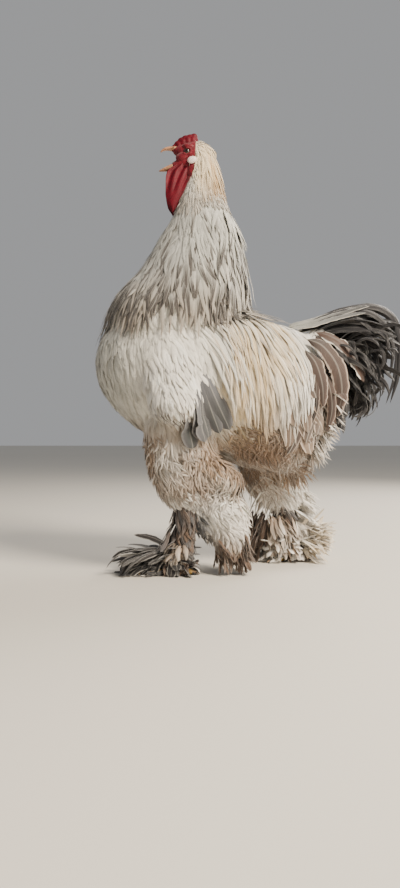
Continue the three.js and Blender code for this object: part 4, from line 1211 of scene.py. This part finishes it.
def makeTail():
    rng = np.random.default_rng(70)
    style = tail["style"]
    batches = []
    for row, (count, rise, length, curl, splay, out, high, width, kind) in enumerate(tail["rows"]):
        for side in sides:
            t = np.linspace(0, 1, count)
            start = np.stack([np.full(count, 106.0), side * mixed(*out, t), mixed(*high, t)], 1)
            azimuth = side * (mixed(*splay, t) + rng.normal(0, 3, count))
            spine, up = swept(
                start, azimuth, mixed(*rise, t) + rng.normal(0, 4, count),
                mixed(*length, t) * rng.uniform(0.88, 1.04, count),
                mixed(*curl, t) + rng.normal(0, 12, count), dict(style, seed=71 + row * 2 + side),
            )
            dark = np.tile(tones["soot"], (count, 1))
            tip = dark * 1.4
            marks = marked(count, 71 + row, 0.5, 0.0, 0.35)
            if kind == "covert":
                tip = mixed(tones["cocoa"] * 0.7, tones["rose"], rng.uniform(size=(count, 1)))
                dark = mixed(dark, tip, 0.7)
                marks[:, 1] = rng.uniform(0.5, 1.0, count)
            batches.append((spine, up, start, np.full(count, width), np.stack([dark, tip], 1), marks))
    spine, up, start, width, tint, marks = (np.concatenate(parts) for parts in zip(*batches))
    vanes(
        "tail_feathers", spine, up, dict(style, width=width), unwrapped(start, "z", (60, 0, 0)), tint, marks,
        "tail", ("tail",),
    )
    # small curled feathers fill the lower half
    style = tail["curls"]
    count = style["count"]
    side = np.where(rng.uniform(size=count) < 0.5, -1.0, 1.0)
    reach = rng.uniform(0, 1, count)
    slope = np.radians(rng.uniform(-56, 30, count))
    out = side * rng.uniform(6, 34, count)
    start = np.stack([112 + 104 * reach * np.cos(slope), out, 354 + 96 * reach * np.sin(slope)], 1)
    spine, up = swept(
        start, side * rng.uniform(0, 60, count), np.degrees(slope) + rng.normal(0, 25, count),
        rng.uniform(36, 72, count), rng.uniform(50, 150, count), style,
    )
    dark = tones["soot"] * rng.uniform(0.8, 2.2, (count, 1))
    vanes(
        "tail_curls", spine, up, style, unwrapped(start, "x", (0, 0, 350)), np.stack([dark, dark * 1.2], 1),
        marked(count, 78, 0.3, 0.12, 0.3), "tail",
    )
    for name, kind, root, tip, streak, lace, coat in (
        ("sickle_feathers", "sickles", tones["soot"] * 2.4, tones["soot"], 0.5, 0.0, "tail"),
        ("saddle_trails", "trails", tones["ash"], tones["slate"], 0.5, 0.8, "tail"),
        ("laced_coverts", "bigCoverts", tones["cocoa"] * 0.35, tones["rose"] * 0.6, 0.9, 0.6, "covert"),
    ):
        rows = [
            (width, [(a, b * side, c) for a, b, c in line])
            for side in sides for width, line in tail[kind]
        ]
        spine = np.array([strung(line, tail["sickle"]["steps"]) for _, line in rows])
        up = unit(np.array([0.0, 1.0, 0.0]) * np.sign(spine[:, -1:, 1:2]) + np.array([0.0, 0.0, 0.6]))
        vanes(
            name, spine, np.broadcast_to(up, spine.shape),
            dict(tail["sickle"], width=np.array([width for width, _ in rows])),
            unwrapped(spine[:, 0], "z", (60, 0, 0)), np.tile(np.stack([root, tip]), (len(rows), 1, 1)),
            marked(len(rows), 75, streak, lace, 0.12), coat,
        )


makeTail()


hock = {
    "steps": 5, "spacing": 3.0, "length": 26, "width": 5.2, "thickness": 0.35, "cup": 0.1, "swell": 0.5,
    "point": 1.6, "ragged": 0.3, "sweep": 0.7, "lift": 5.5, "rise": 0.9, "sunk": 1.0, "slack": 10.0,
    "yaw": 0.2, "bend": 0.25, "turn": 0.5, "locks": 0.25, "floor": 1.0,
}
shank = {
    "steps": 6, "spacing": 3.8, "length": 40, "width": 8, "thickness": 0.5, "cup": 0.12, "swell": 0.5,
    "point": 1.5, "ragged": 0.3, "sweep": 0.5, "lift": 14, "rise": 0.7, "sunk": 0.5, "slack": 24.0,
    "yaw": 0.25, "bend": 0.2, "turn": 0.35, "floor": 1.0,
}
swag = {
    "steps": 8, "width": 9, "thickness": 0.4, "cup": 0.16, "swell": 0.5, "point": 1.8,
    "ragged": 0.45, "sweep": 0.7, "bend": 0.2, "roll": 0.35, "bow": 0.9, "floor": 1.0,
}
# stiff feathers behind each leg: where they start, which way they lie, and their colours
swags = {
    -1: [  # count, x, out, height, azimuth, rise, length, curl, root, tip
        (90, (-50, -20), (42, 84), (80, 120), (-40, 40), (-66, -30), (18, 30), (0, 45), "hock", "hock"),
        (180, (-60, -14), (46, 86), (34, 70), (-40, 40), (-80, -44), (26, 42), (-10, 30), "umber", "cocoa"),
        (80, (-136, -112), (48, 76), (36, 72), (120, 240), (-84, -50), (26, 40), (-30, 10), "cocoa", "slate"),
        (110, (-126, -104), (52, 84), (32, 52), (150, 270), (-30, 20), (22, 34), (80, 130), "fluff", "hock"),
    ],
    1: [
        (120, (76, 100), (42, 86), (84, 130), (-40, 40), (-50, -16), (26, 44), (0, 30), "hock", "hock"),
        (270, (86, 124), (42, 84), (20, 64), (-60, 45), (-24, 24), (26, 50), (-40, 50), "hock", "cream"),
        # dark brown feathers in front of the right leg fill the gap between the legs: partly their own
        # colour, partly painted shade
        (160, (6, 34), (36, 80), (34, 92), (140, 220), (-86, -60), (30, 50), (-20, 10), "cocoa", "umber"),
        (180, (34, 76), (28, 70), (34, 84), (-90, 0), (-80, -40), (26, 44), (-20, 20), "fluff", "hock"),
    ],
}
footStyle = {
    "steps": 10, "width": 17, "thickness": 0.4, "cup": 0.2, "swell": 0.5, "point": 2.2, "ragged": 0.3,
    "sweep": 0.6, "bend": 0.3, "roll": 0.4, "bow": 1.3, "floor": 0.8, "count": 130,
    "spread": {-1: (-75, 40), 1: (-125, 140)},  # turn outwards from straight ahead, in degrees
    "black": {-1: 0.96, 1: 0.12},  # share of black feathers
}


def hockFlow(p):
    low = 1 - ramp(p[:, 2], 48, 84)
    return headed(p, mixed(0.9, 0.12, low), 0, mixed(-0.75, -1.0, low))


def makeLegFeathers():
    fy, fz = footPoints[:, 1], footPoints[:, 2]
    rng = np.random.default_rng(88)
    for side, word in sideWords:
        left = side < 0
        ankleX = leg["hock"][side][0]
        top = (124 if left else 150) + 10 * drift(bodyPoints, 40, 6)[:, 0]
        style = dict(hock, seed=81 + side)
        p, n = thinned(bodyPoints, bodyNormals, (y * side > 0) & (z < top), style["spacing"], 81 + side)
        length = style["length"] * rng.uniform(0.75, 1.2, len(p))
        spine, up = laid(bodyTree, p, hockFlow, length, style)
        low = 1 - ramp(p[:, 2:3], 44, 92)
        root = mixed(tones["hock"], tones["fluff"], rng.uniform(size=(len(p), 1)) * low)
        ends = mixed(tones["umber"], tones["fluff"], rng.uniform(size=(len(p), 1)))
        tip = mixed(tones["hock"], ends, low if left else low * 0.35)
        if left:  # painted shade: the front of the left hock stands in shade and is darkened to grey
            shaded = ramp(-p[:, 0:1], 70, 88) * (1 - ramp(p[:, 2:3], 96, 122))
            root, tip = mixed(root, tones["slate"] * 0.4, shaded), mixed(tip, tones["slate"] * 0.8, shaded)
        marks = marked(len(p), 81, 1.0, 0, 0.1, 0.5)
        marks[:, 0] *= 0.04 + 0.96 * low[:, 0]
        vanes(
            "hock_puff_" + word, spine, up, style, unwrapped(p, "z", (ankleX, 62 * side, 0)),
            np.stack([root, tip], 1), marks, "foot",
        )
        style = dict(shank, seed=84 + side)
        region = (fy * side > 0) & (fz > 18) & (fz < 122)
        p, n = thinned(footPoints, footNormals, region, style["spacing"], 84)
        length = style["length"] * rng.uniform(0.75, 1.2, len(p))
        spine, up = laid(footTree, p, lambda q: headed(q, 0.2, side * 0.4, -1), length, style)
        root = mixed(tones["soot"] * 2, tones["cocoa"], rng.uniform(size=(len(p), 1)))
        tip = mixed(tones["slate"] * 0.7, tones["umber"], rng.uniform(size=(len(p), 1)))
        vanes(
            "shank_feathers_" + word, spine, up, style, unwrapped(p, "z", (ankleX, 62, 0)),
            np.stack([root, tip], 1), marked(len(p), 85, 0.6, 0.2, 0.1, 0.25), "foot",
        )
        makeToeCover(side, word, rng)
        makeSwags(side, word, rng)
        makeFootFeathers(side, word, rng)


def makeToeCover(side, word, rng):
    # short feathers that hide the toes
    middle = np.array([*leg["ankle"][side][:2], 40.0])
    region = (footPoints[:, 1] * side > 0) & (footPoints[:, 2] < 24) & (footNormals[:, 2] > -0.3)
    style = dict(shank, seed=89 + side, spacing=4.0, width=7, lift=9, slack=4.0)
    p, n = thinned(footPoints, footNormals, region, style["spacing"], 89)
    length = rng.uniform(14, 26, len(p))
    spine, up = laid(footTree, p, lambda q: unit((q - middle) * [1, 1, 0.4]), length, style)
    pale = rng.uniform(size=(len(p), 1)) < (0.15 if side < 0 else 0.85)
    tone = np.where(pale, tones["hock"], tones["soot"] * 1.6)
    vanes(
        "toe_feathers_" + word, spine, up, style, unwrapped(p, "z", middle), np.stack([tone, tone], 1),
        marked(len(p), 89, 0.5, 0.4, 0.1, 0.3), "foot",
    )


def drawn(rng, count, limits):
    return rng.uniform(*limits, count)


def makeSwags(side, word, rng):
    batches = []
    for k, (count, atX, out, high, azimuth, rise, length, curl, root, tip) in enumerate(swags[side]):
        start = np.stack([drawn(rng, count, atX), side * drawn(rng, count, out), drawn(rng, count, high)], 1)
        spine, up = swept(
            start, drawn(rng, count, azimuth), drawn(rng, count, rise), drawn(rng, count, length),
            drawn(rng, count, curl), dict(swag, seed=95 + k),
        )
        level = rng.normal(1, 0.08, (count, 1))
        ends = mixed(tones[root], tones[tip], rng.uniform(0.3, 1, (count, 1)))
        tint = np.stack([tones[root] * level, ends * level], 1)
        marks = marked(count, 95 + k, 0.1 if root == "hock" else 0.6, 0.2, 0.1, 0.3)
        batches.append((spine, up, start, tint, marks))
    spine, up, start, tint, marks = (np.concatenate(parts) for parts in zip(*batches))
    vanes(
        "hock_feathers_" + word, spine, up, dict(swag, seed=96),
        unwrapped(start, "z", (leg["hock"][side][0], 62 * side, 0)), np.clip(tint, 0.002, 0.95), marks,
        "foot", ("shank_" + word,),
    )


def makeFootFeathers(side, word, rng):
    style = dict(footStyle, seed=87 + side)
    count = style["count"]
    ax, ay, _ = leg["ankle"][side]
    angle = drawn(rng, count, style["spread"][side])
    angle = np.radians(np.where(rng.uniform(size=count) < 0.2, drawn(rng, count, (62, 180)), angle))
    forward = np.clip(np.cos(angle), 0, 1)
    azimuth = np.degrees(np.arctan2(side * np.sin(angle), -np.cos(angle)))
    atX = ax - rng.uniform(0, 46, count) * forward
    start = np.stack([atX, ay + side * rng.uniform(-10, 8, count), rng.uniform(12, 36, count)], 1)
    length = mixed(46, leg["reach"][side] - 22, forward) * rng.uniform(0.5, 1.0, count)
    spine, up = swept(start, azimuth, rng.uniform(0, 40, count), length, rng.uniform(20, 100, count), style)
    pick = rng.uniform(size=(count, 1))
    black = style["black"][side]
    root = np.where(pick < black, tones["soot"], np.where(pick < 0.95, tones["hock"], tones["fluff"]))
    tip = np.where(pick < black - 0.06, tones["soot"] * 1.2, tones["hock"])
    vanes(
        "foot_feathers_" + word, spine, up, style, unwrapped(start, "z", (ax, ay, 0)),
        np.stack([root, tip], 1), marked(count, 87, 0.7, 0.35, 0.15, 0.5 if side < 0 else 0.2), "foot",
        ("foot_" + word,),
    )


makeLegFeathers()


plume = {
    "seed": 91, "steps": 5, "spacing": 2.7, "thickness": 0.3, "cup": 0.1, "swell": 0.5, "point": 1.4,
    "ragged": 0.12, "sweep": 0.4, "lift": 2.6, "rise": 0.9, "sunk": 0.4, "slack": 6, "yaw": 0.12,
    "bend": 0.1, "turn": 0.6,
}


def plumeFlow(p):
    top = ramp(p[:, 2], 690, 715)
    return headed(p, mixed(0.35, 1.0, top), 0, mixed(-1.0, -0.45, top))


def makePlumes():
    hx, hz = headPoints[:, 0], headPoints[:, 2]
    region = (hx > faceEdge(hz) - 0.5 + 1.6 * drift(headPoints, 7, 93)[:, 0]) & (hz > 640)
    p, n = thinned(headPoints, headNormals, region, plume["spacing"], 91)
    far = ramp(p[:, 0] - faceEdge(p[:, 2]), 0, 20)
    style = dict(plume, width=mixed(3.0, 5.0, far))
    length = mixed(9, 40, far) * np.random.default_rng(92).uniform(0.85, 1.15, len(p))
    spine, up = laid(headTree, p, plumeFlow, length, style)
    vanes(
        "crown_plumes", spine, up, style, unwrapped(p, "z", (-90, 0, 0)), toned(p, style),
        marked(len(p), 91, 0.15, 0, 0.1, 0.3), "hackle",
    )


makePlumes()


def fleshMaterial(name, colour, deep, grain, rough):
    # wet or waxy skin over blood: satin, with fine bumps all over, as many mm apart as grain says
    material, tree = newMaterial(name)
    place = addNode(tree, "TexCoord").outputs["Object"]
    bumps = addNode(tree, "TexVoronoi", {"Vector": place, "Scale": scaleOf(grain)}, feature="SMOOTH_F1")
    cloud = addNode(tree, "TexNoise", {"Vector": place, "Scale": scaleOf(11.111), "Detail": 4.0})
    # the deep colour gathers in clouds, and in the valleys between the bumps as painted shade
    share = addNode(tree, "Math", [bumps, cloud], operation="MULTIPLY")
    share = addNode(tree, "MapRange", [share, 0.02, 0.5])
    colour = addNode(tree, "Mix", {"Factor": share, "A": rgba(colour), "B": rgba(deep)}, data_type="RGBA")
    bump = addNode(tree, "Bump", {"Height": bumps, "Strength": 0.4, "Distance": 0.5 * mm}, invert=True)
    shader = addNode(tree, "BsdfPrincipled", {
        "Base Color": colour, "Normal": bump, "Roughness": rough, "IOR": 1.4, "Specular IOR Level": 0.35,
    })
    addNode(tree, "OutputMaterial", {"Surface": shader})
    return material


fleshes = {
    "comb": fleshMaterial("comb and wattle skin", "#69031a", "#31010a", 1.4286, 0.6),
    "lobe": fleshMaterial("white ear lobe skin", "#e2d9d3", "#b79a96", 2.0, 0.5),
    "mouth": fleshMaterial("mouth lining", "#b0606a", "#7d2f3b", 3.3333, 0.35),
}

comb = {
    "lumps": [  # x, distance out, top, radius
        (-128, 0, 713.8, 5.0), (-122.5, 0, 720, 6.2), (-116, 0, 725.8, 7.0), (-109, 0, 729.4, 7.4),
        (-101.5, 0, 731, 7.6), (-94.6, 0, 732.6, 6.6), (-120, 4.2, 716, 4.6), (-112.5, 4.8, 721, 5.2),
        (-104.5, 5.0, 724, 5.4), (-96.5, 4.8, 724.6, 5.2),
    ],
    "core": ((-109, 0, 713.5), (23, 6.5, 8), -15),
    "voxel": 0.8,
    "softening": 30,
}


def makeComb():
    bm = bmesh.new()
    for px, out, top, radius in comb["lumps"]:
        for side in sides if out else (1,):
            ball(bm, (px, side * out, top - radius), (radius, radius * 0.8, radius), 0, 2)
            ball(bm, (px, side * out * 0.9, top - radius - 4), (radius * 1.1, radius * 0.85, 5), 0, 2)
    ball(bm, *comb["core"])
    placed("pea_comb", fused(bm, comb["voxel"], comb["softening"]), fleshes["comb"], ("comb",))


wattle = {
    "top": 679, "tip": 600, "thickness": 3.2, "folds": 3, "foldDepth": 2.0,
    "frontEdge": [  # height, x
        (600, -132), (610, -139), (625, -142.5), (655, -142), (666, -139.5), (673, -131), (682, -118),
    ],
    "rearEdge": [
        (600, -129), (605, -124), (618, -118), (636, -108), (655, -99), (672, -94), (682, -103),
    ],
    "out": (6.5, 12),
    "lobe": ((-98.2, 17.4, 680.2), (7.8, 3.2, 6.0), -20),
}


def makeWattles():
    front, rear = (list(zip(*wattle[edge])) for edge in ("frontEdge", "rearEdge"))
    for side, word in sideWords:
        bm = bmesh.new()
        bmesh.ops.create_grid(bm, x_segments=20, y_segments=28, size=0.5)
        for vert in bm.verts:
            u, v = vert.co.x + 0.5, 0.5 - vert.co.y
            h = mixed(wattle["top"] + 3, wattle["tip"], v)
            h -= 3.0 * math.sin(math.pi * u) * v
            px = mixed(np.interp(h, *front), np.interp(h, *rear), u)
            fold = wattle["foldDepth"] * math.sin(2 * math.pi * wattle["folds"] * (u + 0.25 * v))
            fold *= math.sin(math.pi * min(v * 1.3 + 0.15, 1))
            lean = mixed(*wattle["out"], math.sin(math.pi * v)) + 3 * math.sin(math.pi * u)
            vert.co = Vector((px, side * (lean + fold), h)) * mm
        bmesh.ops.solidify(bm, geom=bm.faces[:], thickness=wattle["thickness"] * mm)
        finished("wattle_flesh_" + word, bm, fleshes["comb"], ("wattle_" + word,), levels=1)
        bm = bmesh.new()
        (lx, ly, lz), radii, tilt = wattle["lobe"]
        ball(bm, (lx, side * ly, lz), radii, tilt, 4)
        finished("ear_lobe_" + word, bm, fleshes["lobe"], ("earlobe_" + word,))


def hornMaterial(name, light, dark):
    # horn: hard keratin in thin layers, waxy, with darker streaks 2.4 mm wide and 17 mm long
    material, tree = newMaterial(name)
    place = addNode(tree, "TexCoord").outputs["Object"]
    sizes = (scaleOf(16.667), scaleOf(2.381), scaleOf(2.381))
    stretch = addNode(tree, "Mapping", {"Vector": place, "Scale": sizes})
    grain = addNode(tree, "TexNoise", {"Vector": stretch, "Scale": 1.0, "Detail": 3.0})
    shade = addNode(tree, "MapRange", [grain, 0.35, 0.7])
    colour = addNode(tree, "Mix", {"Factor": shade, "A": rgba(light), "B": rgba(dark)}, data_type="RGBA")
    bump = addNode(tree, "Bump", {"Height": grain, "Strength": 0.25, "Distance": 0.4 * mm})
    shader = addNode(tree, "BsdfPrincipled", {
        "Base Color": colour, "Normal": bump, "Roughness": 0.36, "IOR": 1.54,
    })
    addNode(tree, "OutputMaterial", {"Surface": shader})
    return material


beak = {
    "upper": [  # x, z, half width, half height
        (-117, 703, 8.2, 7.0), (-125, 704, 7.2, 6.6), (-132, 705.2, 6.0, 5.4), (-139, 705.8, 4.6, 4.1),
        (-145, 704.7, 3.3, 3.1), (-149, 702.3, 2.1, 2.2), (-151, 699.6, 0.9, 1.2),
    ],
    "lower": [
        (-128, 677, 7.4, 8.0), (-134, 676, 6.8, 7.6), (-139.5, 674.3, 5.8, 6.4), (-145.5, 672, 4.4, 4.4),
        (-150.5, 670, 2.9, 2.4), (-154.6, 668.6, 1.1, 0.9),
    ],
    "tongue": ([(-116, 0, 684), (-126, 0, 681), (-134, 0, 678.5), (-141, 0, 675.6)], [4.6, 4.2, 3.2, 1.2]),
    "nostril": ((-129.5, 6.4, 706.0), (1.6, 0.6, 0.6), -14),
}


def makeBeak():
    material = hornMaterial("beak horn", "#b98a68", "#7d5038")
    for word, into in (("upper", -1), ("lower", 1)):
        bm = bmesh.new()
        rows = [Vector((bx, 0, bz)) for bx, bz, _, _ in beak[word]]
        rings = []
        for i, (_, _, half, high) in enumerate(beak[word]):
            way = (rows[min(i + 1, len(rows) - 1)] - rows[max(i - 1, 0)]).normalized()
            rings.append((rows[i], (0, half, 0), Vector((way.z, 0, -way.x)) * high))
        ringed(bm, rings, 16)
        # the side towards the mouth is flattened
        for vert in bm.verts:
            axis = np.interp(-vert.co.x / mm, [-r[0] for r in beak[word]], [r[1] for r in beak[word]])
            below = (vert.co.z / mm - axis) * into
            if below > 0:
                vert.co.z -= into * below * 0.65 * mm
        finished("beak_horn_" + word, bm, material, ("beak_" + word,), levels=2)
    bm = bmesh.new()
    line, radii = beak["tongue"]
    tube(bm, line, radii, 12, 0.5)
    finished("tongue_flesh", bm, fleshes["mouth"], ("tongue",), levels=1)
    # nostrils: dark slits in the upper beak's base
    bm = bmesh.new()
    (nx, ny, nz), radii, tilt = beak["nostril"]
    for side in sides:
        ball(bm, (nx, side * ny, nz), radii, tilt, 2)
    material, tree = newMaterial("nostril shadow")
    shader = addNode(tree, "BsdfPrincipled", {"Base Color": rgba("#2a1512"), "Roughness": 0.7})
    addNode(tree, "OutputMaterial", {"Surface": shader})
    finished("nostrils", bm, material)


def eyeMaterial():
    # bird eye: a wet clear cornea over a bay iris with fine spokes round a black pupil 5 mm wide
    material, tree = newMaterial("bird eye")
    place = addNode(tree, "TexCoord").outputs["Object"]
    toMiddle = (-eye["x"] * mm, 0.0, -eye["z"] * mm)
    middle = addNode(tree, "Mapping", {"Vector": place, "Location": toMiddle})
    flat = addNode(tree, "VectorMath", [middle, (1.0, 0.0, 1.0)], operation="MULTIPLY")
    ring = addNode(tree, "VectorMath", [flat], operation="LENGTH")  # distance from the eye's axis
    part = addNode(tree, "SeparateXYZ", [flat])
    turn = addNode(tree, "Math", [part.outputs[2], part.outputs[0]], operation="ARCTAN2")
    spokes = addNode(tree, "Math", [turn, 60.0], operation="MULTIPLY")
    spokes = addNode(tree, "Math", [spokes], operation="SINE")
    spokes = addNode(tree, "MapRange", [spokes, -1.0, 1.0])
    bay = {"Factor": spokes, "A": rgba("#33200f"), "B": rgba("#28180b")}
    iris = addNode(tree, "Mix", bay, data_type="RGBA")
    pupil = addNode(tree, "MapRange", [ring, 2.5 * mm, 2.8 * mm, 1.0, 0.0])
    rim = addNode(tree, "MapRange", [ring, 3.6 * mm, 4.2 * mm])
    colour = addNode(tree, "Mix", {"Factor": rim, "A": iris, "B": rgba("#2b0f0b")}, data_type="RGBA")
    colour = addNode(tree, "Mix", {"Factor": pupil, "A": colour, "B": rgba("#050405")}, data_type="RGBA")
    shader = addNode(tree, "BsdfPrincipled", {
        "Base Color": colour, "Roughness": 0.12, "IOR": 1.38, "Coat Weight": 0.6, "Coat Roughness": 0.03,
    })
    addNode(tree, "OutputMaterial", {"Surface": shader})
    return material


def makeEyes():
    material = eyeMaterial()
    for side, word in sideWords:
        bm = bmesh.new()
        ball(bm, (eye["x"], side * eye["y"], eye["z"]), (eye["radius"],) * 3, 0, 4)
        finished("eyeball_" + word, bm, material, ("eye_" + word,))


claw = {
    "scale": 52,  # mm of toe that a share of 1 stands for
    "spots": [  # share, height, radius
        (0.9, 4.0, 3.2), (1.0, 4.6, 3.0), (1.1, 4.2, 2.4), (1.18, 3.0, 1.6), (1.24, 1.4, 0.6),
    ],
}


def makeClaws():
    bm = bmesh.new()
    for side in sides:
        ax, ay, _ = leg["ankle"][side]
        for length, turn, _ in toe["kinds"]:
            dx, dy = toeWay(side, turn)
            far = [length + (share - 1) * claw["scale"] for share, _, _ in claw["spots"]]
            line = [(ax + dx * f, ay + dy * f, h) for f, (_, h, _) in zip(far, claw["spots"])]
            tube(bm, line, [r for _, _, r in claw["spots"]], 10)
    names = [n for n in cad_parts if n.startswith("claw_")]
    finished("claws", bm, hornMaterial("claw horn", "#b79a78", "#5e4838"), names, levels=1)


makeComb()
makeWattles()
makeBeak()
makeEyes()
makeClaws()
print("head and claws ready")
